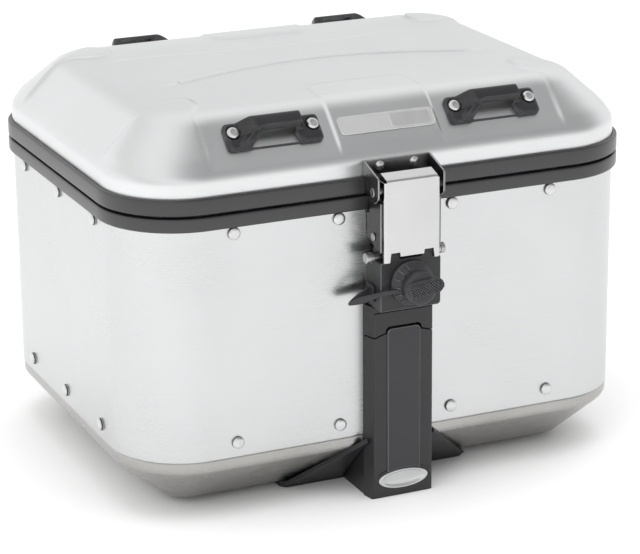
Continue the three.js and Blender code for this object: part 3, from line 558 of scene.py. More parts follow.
def rivets():
    """Domed heads outside, and the backing strip with the closed ends inside."""
    for row, grip in (("upper", 5.3), ("lower", 4.6)):
        for quarter, side in enumerate(("front", "right", "rear", "left")):
            distance, places = (WALL_X, SHORT_SIDE_RIVETS) if quarter % 2 else (WALL_Y, LONG_SIDE_RIVETS)
            node = f"{row}_rivets_{side}"
            lo, hi = corners(node)
            height = (lo[2] + hi[2]) / 2
            reach = abs(places[0]) + 8
            backing = rounded_rectangle(-reach, reach, height - 6, height + 6, 3)
            parts = [prism(backing, "y", -distance + grip, -distance + grip + 1.4)]
            for x in places:
                parts.append(spin(RIVET_HEAD, (0, -1, 0), (x, -distance - 0.25, height), 28))
                parts.append(spin(RIVET_END, (0, 1, 0), (x, -distance + grip + 1.6, height), 16))
            around = Matrix.Rotation(quarter * pi / 2, 4, "Z")
            parts = [moved(part, around) for part in parts]
            row_piece = piece(f"{node}_domed", parts, "case", rivet_steel, node, sharp=50)
            # The heads' steep sides get the dark copy of the steel: painted shade round each head.
            row_piece.data.materials.append(rivet_side_painted_shade.material)
            facing = Vector((0, -1, 0))
            facing.rotate(around)
            for polygon in row_piece.data.polygons:
                outside = polygon.center.dot(facing) > (distance - 0.6) * MM
                if outside and abs(polygon.normal.dot(facing)) < 0.25:
                    polygon.material_index = 1


# ---- lid

RIM_TOP, TOP_EDGE, SLOPE_INSET = 294, 333, 40.5
RIM_RADIUS, TOP_RADIUS = 13, 32
TOP_FALL = 3.4 / 32
LAST_INSET = 92
SLOPE_ANGLE = atan2(TOP_EDGE - RIM_TOP, SLOPE_INSET)
CROWN, CROWN_X, CROWN_Y = 3.2, WALL_X - 58, WALL_Y - 58
PANEL_HALF_WIDTH = 46

lid_rings = Rings(spaced(STRAIGHT_X, 4.5, ((42, 50), (128, STRAIGHT_X))),
    spaced(STRAIGHT_Y, 4.5, ((78, STRAIGHT_Y),)), 36, shrink=0.5)


def lid_profile():
    """(inset, height, tilt of the outward normal) of the lid's rings, from the rim's foot inwards."""
    foot = LID_LO[2]
    rim = fillet([(0, foot), (0, RIM_TOP - 0.5, RIM_RADIUS), (SLOPE_INSET, TOP_EDGE)], 7)
    edge = fillet([(0, RIM_TOP - 0.5), (SLOPE_INSET, TOP_EDGE, TOP_RADIUS),
        (SLOPE_INSET + 32, TOP_EDGE + 32 * TOP_FALL)], 14)[1:-1]
    run = [(0, foot), (0, foot + 0.3), (0, foot + 0.8), (0, (foot + rim[1][1]) / 2)] + rim[1:-1]
    start, end = run[-1], edge[0]
    for k in range(1, 8):
        run.append((start[0] + (end[0] - start[0]) * k / 8, start[1] + (end[1] - start[1]) * k / 8))
    run += edge
    inset, height = run[-1]
    reach = LAST_INSET - inset
    for k in range(1, 18):
        along = reach * k / 17
        run.append((inset + along, height + TOP_FALL * along * (1 - along / (2 * reach))))
    return [(*point, atan2(after[1] - before[1], after[0] - before[0]))
        for before, point, after in with_neighbours(run)]


def inner_corner(dx, dy, radius):
    """Signed depth inside a corner whose two edges lie at distances dx and dy, rounded at the tip."""
    return np.where((dx > radius) | (dy > radius), np.minimum(dx, dy),
        radius - np.hypot(np.maximum(radius - dx, 0), np.maximum(radius - dy, 0)))


def swell_front(x):
    """Front line of the low swell across the lid."""
    return -16 - 13 * (x / 100) ** 2


def swell_rear(x):
    return 37 + 22 * smoothstep(10, 150, np.abs(x))


def relief(x, y):
    """How far the drawn panels stand out of the lid's plain form, from the plan position."""
    ax, ay = np.abs(x), np.abs(y)
    pad_edge_x = 146 + 12 * smoothstep(106, 134, ay)
    pad_edge_y = 84 + 15 * smoothstep(163, 190, ax)
    pad = inner_corner(ax - pad_edge_x, ay - pad_edge_y, 13)
    panel = inner_corner(PANEL_HALF_WIDTH - ax, ay - 94, 12)
    raised = 1.7 * smoothstep(-1.6, 1.6, pad) + 1.5 * smoothstep(-1.3, 1.3, panel)
    swell = smoothstep(-0.8, 0.8, y - swell_front(x)) * smoothstep(-5, 5, swell_rear(x) - y)
    return raised + 1.3 * swell * (1 - smoothstep(135, 176, ax))


def crown(x, y):
    across, along = np.clip(np.abs(x / CROWN_X), 0, 1), np.clip(np.abs(y / CROWN_Y), 0, 1)
    return CROWN * (1 - across ** 2) ** 2 * (1 - along ** 2) ** 2


def lid_top_patch(edge):
    """Grid that fills the last ring; its four corners are the middles of the ring's corners.

    Its rows are drawn together along both lines of the swell.
    """
    half_corner = lid_rings.corner_steps // 2
    long_steps = len(lid_rings.x_places) - 1 + lid_rings.corner_steps
    short_steps = len(lid_rings.y_places) - 1 + lid_rings.corner_steps
    edge = np.roll(edge, half_corner, axis=0)
    front, left_back = edge[:long_steps + 1], edge[-short_steps:]
    left = np.concatenate([edge[:1], left_back[::-1]])
    half_x, half_y = -front[0][0], -front[0][1]
    across, along = np.outer(-left[:, 0], front[:, 0]) / half_x, np.outer(left[:, 1], -front[:, 1]) / half_y
    grid = np.dstack([across, along])
    for i in range(1, long_steps):
        x, rows = grid[:, i, 0], grid[:, i, 1].copy()
        middle = float(x[short_steps // 2])
        ahead, behind = float(swell_front(middle)), float(swell_rear(middle))
        drawn = np.interp(rows, [rows[0], -27, -5, 26, 48, rows[-1]],
            [rows[0], ahead - 3, ahead + 3, behind - 6, behind + 6, rows[-1]])
        share = float(smoothstep(0, 9, min(i, long_steps - i)))
        grid[:, i, 1] = rows + (drawn - rows) * share
    return grid


def lid_shell():
    rings = []
    profile = lid_profile()
    for inset, height, climb in profile:
        points, normals = lid_rings.flat(inset)
        x, y = points.T
        lift = relief(x, y) * smoothstep(3.5, 9.5, inset)
        lean = climb * (1 - smoothstep(44, 62, inset))
        out = points + normals * (lift * sin(lean))[:, None]
        rings.append(np.column_stack([out, height + lift * cos(lean) + crown(x, y)]))
    inset, height, _ = profile[-1]
    edge, _ = lid_rings.flat(inset)
    grid = lid_top_patch(edge)
    x, y = grid[..., 0], grid[..., 1]
    top = np.dstack([x, y, height + relief(x, y) + crown(x, y)])
    rows, columns = x.shape
    patch_faces = [[j * columns + i, j * columns + i + 1, (j + 1) * columns + i + 1, (j + 1) * columns + i]
        for j in range(rows - 1) for i in range(columns - 1)]
    skirt, skirt_faces = loft(rings, caps=False)
    first = len(skirt)
    verts = skirt + [tuple(float(c) for c in p) for p in top.reshape(-1, 3)]
    faces = skirt_faces + [[first + i for i in face] for face in patch_faces]
    piece("lid_shell_drawn", [(verts, faces)], "lid", lid_metal, "lid_shell", sheet=1.6)


# ---- on the lid's slopes

def on_slope(x, turn, distance, lift=0.0):
    """Matrix that lays local XY on the slope: X along the box, Y up the slope, Z outwards."""
    tilt = Matrix.Rotation(SLOPE_ANGLE, 4, "X")
    y = -WALL_Y + distance * cos(SLOPE_ANGLE)
    z = RIM_TOP + distance * sin(SLOPE_ANGLE)
    place, out = Matrix.Translation((x, y, z)), Matrix.Translation((0, 0, lift))
    return Matrix.Rotation(turn, 4, "Z") @ place @ tilt @ out


LOOP_X, LOOP_DISTANCE = 98.5, 32.0
LOOP_HALF, LOOP_HALF_WIDTH, LOOP_END_RADIUS = 41.5, 12.4, 4.0
LOOP_BASE, LOOP_TOP, LOOP_BOLT, LOOP_BOLT_RISE = 4.6, 14.0, 34.5, 2.6
WINDOW_TOP, WINDOW_FOOT = -0.6, -11.0
WINDOW_LEFT, WINDOW_RIGHT = -11.0, 18.2
BOLT_RECESS = 6.4


def loop_top(u, v):
    """Height of the loop's outer surface above the slope."""
    rim = LOOP_HALF_WIDTH - np.abs(v)
    end = LOOP_HALF - np.abs(u)
    edge = inner_corner(end, rim, LOOP_END_RADIUS)
    base = LOOP_BASE + 0.6 * smoothstep(0, 3, edge)
    from_bolt = np.hypot(np.abs(u) - LOOP_BOLT, v - LOOP_BOLT_RISE)
    base = base - 1.7 * (1 - smoothstep(BOLT_RECESS - 0.7, BOLT_RECESS + 0.3, from_bolt))
    rail = smoothstep(-24, -19, u) * (1 - smoothstep(19, 24, u)) * (1 - smoothstep(-11, -5, v))
    base = base - 3.0 * rail
    scoop = -15.5 - 0.05 * (v - 5.5) ** 2 - 0.35 * np.clip(-v, 0, 12)
    left_ramp = smoothstep(-12.5, 0, u - scoop) ** 0.75
    right_ramp = 1 - smoothstep(22.5, 26.5, u)
    crest = 1 - 0.10 * ((v - 6) / 7) ** 2
    face = smoothstep(-2.6, 2.0, v)
    bar = (LOOP_TOP - base) * crest * left_ramp * right_ramp * face
    leg_place = u - WINDOW_LEFT - 1.05 * (v - WINDOW_TOP)
    leg = 5.0 * smoothstep(-13, -6, leg_place) * (1 - smoothstep(-2.5, 0.5, leg_place)) * (1 - face)
    leg = leg * smoothstep(0, 5, rim)
    height = base + bar + leg
    return height - 2.6 * (1 - np.sqrt(np.clip(1 - (1 - np.clip(edge / 2.6, 0, 1)) ** 2, 0, 1)))


def loop_bottom(u, v):
    """Underside: flat on the slope, arched under the bar."""
    arch = smoothstep(-15.5, -11.0, u) * (1 - smoothstep(18.5, 22.5, u)) * smoothstep(-2.2, -0.8, v)
    return 0.3 + 8.0 * arch


def loop_rows():
    upper = [WINDOW_TOP + (LOOP_HALF_WIDTH - WINDOW_TOP) * k / 15 for k in range(16)]
    middle = [WINDOW_FOOT + (WINDOW_TOP - WINDOW_FOOT) * k / 9 for k in range(9)]
    lower = [-LOOP_HALF_WIDTH + step for step in (0, 0.3, 0.7, 1.1)]
    upper[-1:] = [LOOP_HALF_WIDTH - 0.9, LOOP_HALF_WIDTH - 0.4, LOOP_HALF_WIDTH]
    return lower + middle + upper


def tie_down_loop():
    """Closed grid: the outer surface, the underside, and the walls at the outline and the window."""
    rows = loop_rows()
    columns = 96
    first_open, last_open = 24, 72
    grid_u = np.empty((len(rows), columns + 1))
    grid_v = np.empty_like(grid_u)
    for j, v in enumerate(rows):
        below = max(0.0, WINDOW_TOP - max(v, WINDOW_FOOT))
        anchors = [-LOOP_HALF, WINDOW_LEFT - 1.05 * below, WINDOW_RIGHT + 0.3 * below, LOOP_HALF]
        grid_u[j] = np.interp(range(columns + 1), [0, first_open, last_open, columns], anchors)
        grid_v[j] = v
    into_end = np.clip(np.abs(grid_u) - (LOOP_HALF - LOOP_END_RADIUS), 0, None)
    half_width = np.sqrt(np.clip(LOOP_END_RADIUS ** 2 - into_end ** 2, 0, None))
    half_width += LOOP_HALF_WIDTH - LOOP_END_RADIUS
    v = grid_v * half_width / LOOP_HALF_WIDTH
    outer = loop_top(grid_u, v)
    top = np.dstack([grid_u, v, outer]).reshape(-1, 3)
    bottom = np.dstack([grid_u, v, np.minimum(loop_bottom(grid_u, v), outer - 0.6)]).reshape(-1, 3)
    foot_row, top_row = rows.index(WINDOW_FOOT), rows.index(WINDOW_TOP)
    return slab(top, bottom, columns, lambda j, i: foot_row <= j < top_row and first_open <= i < last_open)


LOOP_BOLT_HEAD = [(0, -6), (2.5, -6), (2.5, 4.55), (5.0, 4.55), (5.15, 4.8), (5.15, 5.3), (4.8, 5.7),
    (4.1, 6.5), (3.2, 7.0), (2.1, 7.15), (1.75, 7.0), (1.6, 5.6), (0, 5.5)]


def tie_down_loops():
    shape = tie_down_loop()
    places = {"front_left": (-LOOP_X, 0), "front_right": (LOOP_X, 0), "rear_left": (LOOP_X, pi),
        "rear_right": (-LOOP_X, pi)}
    for name, (x, turn) in places.items():
        on_lid = on_slope(x, turn, LOOP_DISTANCE)
        piece(f"loop_{name}_moulded", [moved(shape, on_lid)], "lid", loop_plastic,
            f"tie_down_loop_{name}", sharp=38)
        for end, side in (("a", -1), ("b", 1)):
            bolt = spin(LOOP_BOLT_HEAD, (0, 0, 1), (side * LOOP_BOLT, LOOP_BOLT_RISE, 0), 36,
                sides=6, sided_from=10)
            node = f"loop_bolt_{name}_{end}"
            piece(f"{node}_socket_head", [moved(bolt, on_lid)], "lid", rivet_steel, node, sharp=45)


def badge():
    """Two-tone plate without any lettering."""
    on_lid = on_slope(1, 0, 29.5, lift=1.7)
    half, tall, radius = 43, 8.6, 4.2
    start, end = 1.5, half - 1.6

    def outline(x0, x1, margin, corner):
        return rounded_rectangle(x0 + margin, x1 - margin, margin - tall, tall - margin, corner, 6)

    def plate(x0, x1, low, high, margin, corner):
        return moved(prism(outline(x0, x1, margin, corner), "z", low, high), on_lid)

    def frame_ring(x0, x1, width, low, high, margin, corner):
        outer = outline(x0, x1, margin, corner)
        inner = outline(x0, x1, margin + width, corner - width)
        section = ((outer, low), (outer, high), (inner, high), (inner, low))
        rings = [[(u, v, w) for u, v in run] for run, w in section]
        return moved(loft(rings, closed=True), on_lid)

    rims = [frame_ring(-half, half, 0.9, 0.7, 1.2, 0, radius),
        frame_ring(start, end, 0.7, 0.7, 1.25, 1.6, radius - 1)]
    piece("badge_plate", [plate(-half, half, 0, 0.8, 0, radius), *rims], "lid", badge_light,
        "lid_badge", bevel=0.2)
    piece("badge_inlay", [plate(start, end, 0.7, 0.95, 2.3, radius - 1.7)], "lid", badge_dark, [], bevel=0.1)


# ---- latch

PIVOT_Y, PIVOT_Z = -195.5, 270.0
HOOK_RIVET_Y, HOOK_RIVET_Z = -190.0, 231.0
STEEL = 1.5
LEVER_FRONT, LEVER_TOP = -206.0, 279.2
CATCH_Y, CATCH_Z = -191, 214


def pair_of_plates(outline, outer_x, thickness):
    plate = prism(outline, "x", -outer_x, -outer_x + thickness)
    return [plate, mirrored(plate)]


def latch_bracket():
    back = -WALL_Y - 0.3
    foot, top, half = 279.2, 291.5, 30
    ear = fillet([(back, top), (back, foot), (-179.8, 278.6, 0.5), (-180.6, 262.5, 7), (-188, 261, 6),
        (-199, 261.2, 6), (-204.5, 266, 5), (-204.5, 283.2, 1.2), (-178.5, top, 1.5)], 6)
    face = fillet([(-half, foot), (half, foot), (half, top, 1), (-half, top, 1)], 3)
    plate = prism(face, "y", back - STEEL, back)
    # The bevels take the bright steel: a painted highlight along the dark bracket's edges.
    piece("latch_bracket_bent", [plate, *pair_of_plates(ear, half, STEEL)], "lid", ear_steel_painted_shade, "latch_bracket",
        bevel=0.32, segments=2, edge=bright_steel_and_highlight)
    head = [(0, 2.3), (1.4, 2.2), (2.7, 1.8), (3.7, 1.1), (4.2, 0.3), (4.2, 0), (2, 0), (2, -4.5), (0, -4.5)]
    end = [(0, 0.8), (2.4, 0.6), (3.3, 0), (3.3, -1), (0, -1)]
    rivet_z = 286
    for side, x in (("left", -15.5), ("right", 15.5)):
        dome = spin(head, (0, -1, 0), (x, back - STEEL - 0.1, rivet_z), 28)
        tail = spin(end, (0, 1, 0), (x, -WALL_Y + 3.4, rivet_z), 20)
        piece(f"bracket_rivet_{side}_domed", [dome, tail], "lid", rivet_steel,
            f"bracket_rivet_{side}", sharp=50)


def pin(node, body, y, z, head_radius, head_from, head_to, radius=2.5):
    """A pin along X with dished heads at both ends."""
    shaft = rod(radius, -head_from, head_from, (1, 0, 0), (0, y, z), 24)
    deep = head_to - head_from
    head = [(0, 0), (head_radius - 0.3, 0), (head_radius, 0.25), (head_radius, deep - 0.4),
        (head_radius - 0.5, deep), (head_radius * 0.55, deep),
        (head_radius * 0.4, deep - 0.45), (0, deep - 0.6)]
    right = spin(head, (1, 0, 0), (head_from, y, z), 28)
    piece(f"{node}_headed", [shaft, right, mirrored(right)], body, zinc_steel, node, sharp=45)


def lever_columns():
    """Places (x, y) across the lever's skin: along the front and round both side bends."""
    half = 25.0
    right = bend(half, LEVER_FRONT, 2.2, 2.2, 5)[1:]
    right += [(half, y) for y in (-200, -196, -192, -188.6, -185)]
    levels = [-22.8, -18.9, -18.1, -14.5, -11.1, -10.3, -5, 0, 5, 10.3, 11.1, 14.5, 18.1, 18.9, 22.8]
    left = [(-x, y) for x, y in reversed(right)]
    return left + [(x, LEVER_FRONT) for x in levels] + right


def latch_lever():
    """Bright cover: a sheet skin with side flanges, notches at the foot and a lip bent back at the top."""
    columns = lever_columns()
    rows = [212, 212.5, 216.2, 216.7, 219.8, 220.3, 224, 232, 246, 260, 272, LEVER_TOP]
    lip = [(0.0, 279.9), (0.35, 280.7), (1.0, 281.3), (4.5, 282.3), (8.5, 283.5), (12.4, 284.7)]
    verts, faces, index = [], [], {}

    def vertex(x, y, z):
        """Number of a point; notch sides lean together as they rise, and the flanges narrow near the top."""
        if 10 < abs(x) < 19.5 and z < 220.5:
            x += copysign((220.3 - z) * 0.12, x if abs(x) > 15 else -x)
        y = min(y, -185 - 5 * float(smoothstep(268, LEVER_TOP, z)))
        key = (round(x, 3), round(y, 3), round(z, 3))
        if key not in index:
            index[key] = len(verts)
            verts.append((x, y, z))
        return index[key]

    def foot(x0, x1, y):
        middle = abs(x0 + x1) / 2
        if y > -203:
            return 224 if y < -200 else 226
        if middle > 18.5:
            return 212
        return 220 if middle > 10.7 else 216.3

    for (x0, y0), (x1, y1) in zip(columns, columns[1:]):
        rear = max(y0, y1)
        for z0, z1 in zip(rows, rows[1:]):
            if z0 >= foot(x0, x1, rear) - 0.35 and (rear <= -203.7 or z1 <= 279.5):
                faces.append([vertex(x0, y0, z0), vertex(x1, y1, z0), vertex(x1, y1, z1), vertex(x0, y0, z1)])
    flat = [x for x, y in columns if y == LEVER_FRONT]
    for (back0, z0), (back1, z1) in zip([(0.0, LEVER_TOP), *lip], lip):
        y0, y1 = LEVER_FRONT + back0, LEVER_FRONT + back1
        for x0, x1 in zip(flat, flat[1:]):
            faces.append([vertex(x0, y0, z0), vertex(x1, y0, z0), vertex(x1, y1, z1), vertex(x0, y1, z1)])
    whole = [face for face in faces if len(set(face)) == 4]
    piece("latch_lever_cover", [(verts, whole)], "latch", bright_steel_and_highlight, "latch_lever",
        sheet=1.2, bevel=0.3, segments=2)


def latch_hook():
    plate = fillet([(-176.5, 228.8, 1), (-195, 221.6, 1), (-203, 219.4, 1.5), (-203, 262, 1),
        (-181.5, 262, 1), (-181.5, 249.5, 1), (-176.5, 247.5, 1)], 4)
    web = box(-25.8, 25.8, -180.1, -178.6, 230, 246)
    # The bevels take the bright steel: a painted highlight along the dark hook's edges.
    piece("latch_hook_plates", [*pair_of_plates(plate, 27, STEEL), web], "latch", dark_steel, "latch_hook",
        bevel=0.3, segments=2, edge=bright_steel_and_highlight)


def catch_bar():
    profile = [(0, 0), (4.3, 0), (4.5, 0.2), (4.5, 1.6), (3.9, 1.8), (3.9, 2.5), (4.5, 2.7),
        (4.5, 6.0), (3.9, 6.6), (0, 6.6)]
    head = spin(profile, (1, 0, 0), (29, CATCH_Y, CATCH_Z), 36)
    shaft = rod(3.8, -29, 29, (1, 0, 0), (0, CATCH_Y, CATCH_Z), 32)
    piece("catch_bar_turned", [shaft, head, mirrored(head)], "case", zinc_steel, "catch_bar", sharp=40)


# ---- lock

HOUSING_LO, HOUSING_HI = corners("lock_housing")
HOUSING_FRONT = HOUSING_LO[1]
HOUSING_HALF = HOUSING_HI[0]
LOCK_Z = 192.5


def lock_housing():
    foot, back = HOUSING_LO[2], -WALL_Y - 0.3
    half, front = HOUSING_HALF, HOUSING_FRONT
    top = 211.5
    outline = fillet([(-half, foot, 1), (half, foot, 3), (half, top, 1), (-half, top, 1)], 5)
    block = prism(outline, "y", front, back)
    root, dip, tip = top - 1, 213.6, 219.4
    crest = prism(fillet([(-20, root), (20, root), (18.4, tip, 1.6), (11.2, tip, 1.6), (9.8, dip, 1),
        (-9.8, dip, 1), (-11.2, tip, 1.6), (-18.4, tip, 1.6)], 4), "y", front, front + 4.5)
    seat = box(-22.5, 22.5, front + 4, back - 3.5, root, tip + 1)
    bar_bore = rod(5.1, -60, 60, (1, 0, 0), (0, CATCH_Y, CATCH_Z), 32)
    lock_bore = rod(12.4, -1, 24.5, (0, 1, 0), (0, front, LOCK_Z), 40)
    # Its rounded edges are painted in the lighter plastic: a painted highlight.
    piece("lock_housing_block", [block], "case", column_plastic, "lock_housing", bevel=0.8,
        edge=painted_highlight_plastic, carve=[lock_bore])
    piece("lock_housing_crest", [crest, seat], "case", column_plastic, [], bevel=0.5, carve=[bar_bore])


def lock_cylinder():
    front = HOUSING_FRONT + 0.5
    profile = [(0, 0), (10.6, 0), (11.2, 0.4), (11.9, 0.4), (11.9, -23), (0, -23)]
    plug = spin(profile, (0, -1, 0), (0, front, LOCK_Z), 48)
    keyway = box(-1.1, 1.1, front - 2, front + 9, LOCK_Z - 5, LOCK_Z + 5)
    piece("lock_cylinder_turned", [plug], "lock", lock_chrome, "lock_cylinder", bevel=0.15,
        segments=2, carve=[keyway])


GRIP_BULGE, KNURL_DEPTH, KNURL_TOPS = 1.0, 1.5, 0.86


def knurled_grip(x0, x1, half_height, front, back):
    """Grip tab whose outer face is cross-cut into small diamonds; it rises a little to one side."""
    columns, rows = 108, 44
    pitch, rise = 2.6, 0.09
    length = x1 - x0
    outer, inner = [], []
    for j in range(rows + 1):
        for i in range(columns + 1):
            u, v = i / columns, 2 * j / rows - 1
            x = x0 + length * u
            end = max(0.0, x - (x1 - half_height)) / half_height
            tall = half_height * (0.95 + 0.05 * u) * sqrt(max(0.0, 1 - end * end))
            z = v * tall
            lean = x - 0.35 * z * (1 - u)
            edge = max(0.0, min(tall - abs(z), x - x0, 2.6)) / 2.6
            bulge = GRIP_BULGE * (1 - (1 - edge) ** 2)
            first = abs(((x + z) / pitch) % 1 - 0.5) * 2
            second = abs(((x - z) / pitch) % 1 - 0.5) * 2
            diamonds = KNURL_DEPTH * min(first, second, 0.7) * min(1.0, edge * 3)
            height = LOCK_Z + 1.6 + z + rise * x
            outer.append((lean, front - bulge - diamonds, height))
            inner.append((lean, back, height))
    return slab(outer, inner, columns)


def dust_cap():
    base = HOUSING_FRONT - 0.3
    profile = [(0, 0), (18.2, 0), (18.8, 0.6), (18.8, 3.0), (18.3, 3.6), (17.6, 3.8), (14.2, 8.0),
        (13.4, 8.6), (13.1, 9.4), (12.9, 13), (13.2, 13.6), (14.0, 13.9), (14.3, 14.6), (14.3, 18.6),
        (13.8, 19.8), (12.6, 20.6), (10.5, 20.9), (0, 20.9)]
    body = spin(profile, (0, -1, 0), (0, base, LOCK_Z), 72)
    ribs = []
    for degrees in (112, 136, 160, 184, 208, 232):
        rib = prism([(13.6, 4.0), (18.2, 3.0), (18.2, 4.3), (14.4, 9.2), (13.6, 9.2)], "y", -0.55, 0.55)
        lay = pointing((0, -1, 0), (0, base, LOCK_Z)) @ Matrix.Rotation(radians(degrees), 4, "Z")
        ribs.append(moved(rib, lay))
    grip_front = base - 24.6
    grip = knurled_grip(-12.5, 17.6, 6.3, grip_front, base - 19.5)
    cap = piece("dust_cap_moulded", [body, *ribs, grip], "cap", rubber, "dust_cap",
        edge=painted_highlight_plastic, sharp=38)
    # The knurl's outermost tops take the lighter plastic: a painted highlight on the tops.
    for polygon in cap.data.polygons:
        if polygon.center.y < (grip_front - GRIP_BULGE - KNURL_TOPS) * MM:
            polygon.material_index = 1


def strap(name, node, body, stations):
    """A flat strap through stations of (x, y, middle height, half height, half thickness)."""
    rings = []
    for before, (x, y, z, tall, thick), after in with_neighbours(catmull(stations, 5)):
        along = Vector((after[0] - before[0], after[1] - before[1], 0)).normalized()
        across = Vector((-along.y, along.x, 0))
        ring_points = []
        for angle in angles(16):
            side, up = cos(angle), sin(angle)
            flat = copysign(abs(side) ** 0.6, side) * thick
            ring_points.append((x + across.x * flat, y + across.y * flat,
                z + copysign(abs(up) ** 0.8, up) * tall))
        rings.append(ring_points)
    return piece(name, [loft(rings)], body, rubber, node, sharp=60)


def catmull(points, steps):
    """Points on a smooth curve through the given ones, in as many dimensions as they have."""
    p = [np.array(q, float) for q in points]
    p = [2 * p[0] - p[1], *p, 2 * p[-1] - p[-2]]
    made = []
    for a, b, c, d in zip(p, p[1:], p[2:], p[3:]):
        for k in range(steps):
            t = k / steps
            made.append(0.5 * (2 * b + (c - a) * t + (2 * a - 5 * b + 4 * c - d) * t * t
                + (3 * b - a - 3 * c + d) * t ** 3))
    return made + [p[-2]]


def tether():
    fold_x, fold_y, fold_z = -50.2, -189.3, 177.0
    strap("cap_tether_arm", "cap_tether", "cap", [(-11.5, -211.2, 189.6, 1.4, 0.9),
        (-19, -209.6, 188.6, 1.6, 0.9), (-27, -206.0, 186.9, 1.9, 0.9), (-34, -201.6, 184.0, 2.5, 0.9),
        (-41, -196.8, 180.9, 3.1, 0.9), (-47, -192.6, 178.4, 2.2, 0.9),
        (fold_x + 0.3, fold_y - 1.3, fold_z, 1.2, 0.7)])
    side = -HOUSING_HALF - 0.3
    strap("tether_anchor_arm", "tether_anchor", "case",
        [(side - 0.6, -184.4, 182.6, 4.4, 1.0), (-33.5, -185.4, 181.6, 4.2, 1.0),
        (-40.5, -187.0, 179.4, 3.6, 1.0), (-46.2, -188.0, 177.4, 2.4, 0.8),
        (fold_x + 1.2, fold_y + 1.3, fold_z - 0.8, 1.1, 0.6)])
    pad = prism(rounded_rectangle(-192, -178, 175, 190, 3), "x", side - 1.6, side)
    piece("tether_pad", [pad], "case", rubber, [], bevel=0.5)


# ---- column

COLUMN_LO, COLUMN_HI = corners("lock_column")
SHOULDER_LO, SHOULDER_HI = corners("column_shoulder")
COLUMN_FRONT = COLUMN_LO[1]
COLUMN_BACK = -175.5
FOOT_BACK = COLUMN_HI[1]
COLUMN_TOP = COLUMN_HI[2]
HALF_FRONT, HALF_ROOT = 27.0, 30.0
RECESS_HALF, RECESS_BACK, RECESS_FOOT = 15.4, -181.4, 16.0
BEVEL_TOP, CHAMFER_START, CHAMFER_END = 12.6, 5.4, 46.5
HANDLE_HALF = 15.0
WING_DROP = 3.6
BUTTON_Z, BUTTON_HALF, BUTTON_TALL = 15.8, 23, 8.5


def column_ring(z, front, back, recess=0.0, drop=0.0, half=HALF_FRONT):
    """Plan of the column at a height, with the handle's recess; the outer parts may hang lower."""
    root = HALF_ROOT
    right = [(RECESS_HALF, front), (RECESS_HALF + 0.01, front), (20, front)]
    right += bend(half, front, 2.3, 1.9, 6)
    depth = max(0.0, COLUMN_BACK - front - 1.9)
    right += [(half + (root - half) * k / 3, front + 1.9 + depth * k / 3) for k in range(1, 4)]
    foot = back if back > COLUMN_BACK else COLUMN_BACK + 0.02
    right += [(root - 0.9, COLUMN_BACK + 0.01), (root - 0.9, foot)]
    inside = [(0, front + recess), (RECESS_HALF - 0.01, front + recess)]
    points = inside + right + [(0, right[-1][1])]
    ring_points = points + [(-x, y) for x, y in reversed(points[1:-1])]
    outer = RECESS_HALF + 1
    return [(x, y, z - drop * max(0.0, min(1.0, (abs(x) - outer) / (half - outer)))) for x, y in ring_points]


def foot_line(z):
    """Back of the foot: the face that lies against the chamfer."""
    return FOOT_BACK + (COLUMN_BACK - FOOT_BACK) * max(0.0, z - CHAMFER_START) / (CHAMFER_END - CHAMFER_START)


def oval(y, half, tall, steps):
    """Ring round the button's middle."""
    return [(half * cos(t), y, BUTTON_Z + tall * sin(t)) for t in angles(steps)]


def lock_column():
    depth = RECESS_BACK - COLUMN_FRONT
    rings = [column_ring(0, COLUMN_FRONT + 2.6, foot_line(0), half=HALF_FRONT + 1.2)]
    rings += [column_ring(z, COLUMN_FRONT, foot_line(z)) for z in (BEVEL_TOP, RECESS_FOOT)]
    rings += [column_ring(z, COLUMN_FRONT, foot_line(min(z, CHAMFER_END)), depth)
        for z in (RECESS_FOOT, 34, CHAMFER_END, 80, 115)]
    rings.append(column_ring(COLUMN_TOP, COLUMN_FRONT, COLUMN_BACK, depth, WING_DROP))
    bore_half, bore_tall = BUTTON_HALF + 0.4, BUTTON_TALL + 0.45
    bore = loft([oval(y, bore_half, bore_tall, 64) for y in (COLUMN_FRONT - 3, -165)])
    slot = box(-6.5, 6.5, -163.5, FOOT_BACK + 2, -2, 17)
    grooves = []
    for start, end in ((127, 154), (26, 53)):
        arc = [radians(start + (end - start) * k / 8) for k in range(9)]
        outline = []
        for gap, turn in ((3.4, arc), (2.6, arc[::-1])):
            outline += [((BUTTON_HALF + gap) * cos(t), BUTTON_Z + (BUTTON_TALL + gap) * sin(t)) for t in turn]
        grooves.append(prism(outline, "y", COLUMN_FRONT - 2, COLUMN_FRONT + 0.9))
    knuckle = box(-RECESS_HALF, RECESS_HALF, -182, -177, 132, 150)
    # Its rounded edges are painted in the lighter plastic: a painted highlight.
    piece("lock_column_moulded", [loft(rings)], "case", column_plastic, "lock_column", bevel=0.45, segments=3,
        edge=painted_highlight_plastic, carve=[bore, slot, knuckle, *grooves])


def column_shoulder():
    low, top = SHOULDER_LO[2], SHOULDER_HI[2]
    rings = [column_ring(low + 1.0, COLUMN_FRONT, COLUMN_BACK, 0, WING_DROP),
        column_ring(156, COLUMN_FRONT, COLUMN_BACK), column_ring(top, COLUMN_FRONT, COLUMN_BACK)]
    notch = prism(fillet([(-16.4, 140), (16.4, 140), (16.4, 152, 4), (-16.4, 152, 4)], 6), "y",
        COLUMN_FRONT - 2, -176.5)
    seam = box(-40, 40, COLUMN_FRONT - 2, COLUMN_FRONT + 1.4, 164.2, 165.3)
    # Its rounded edges are painted in the lighter plastic: a painted highlight.
    piece("column_shoulder_moulded", [loft(rings)], "case", column_plastic, "column_shoulder", bevel=0.4,
        segments=3, edge=painted_highlight_plastic, carve=[notch, seam])


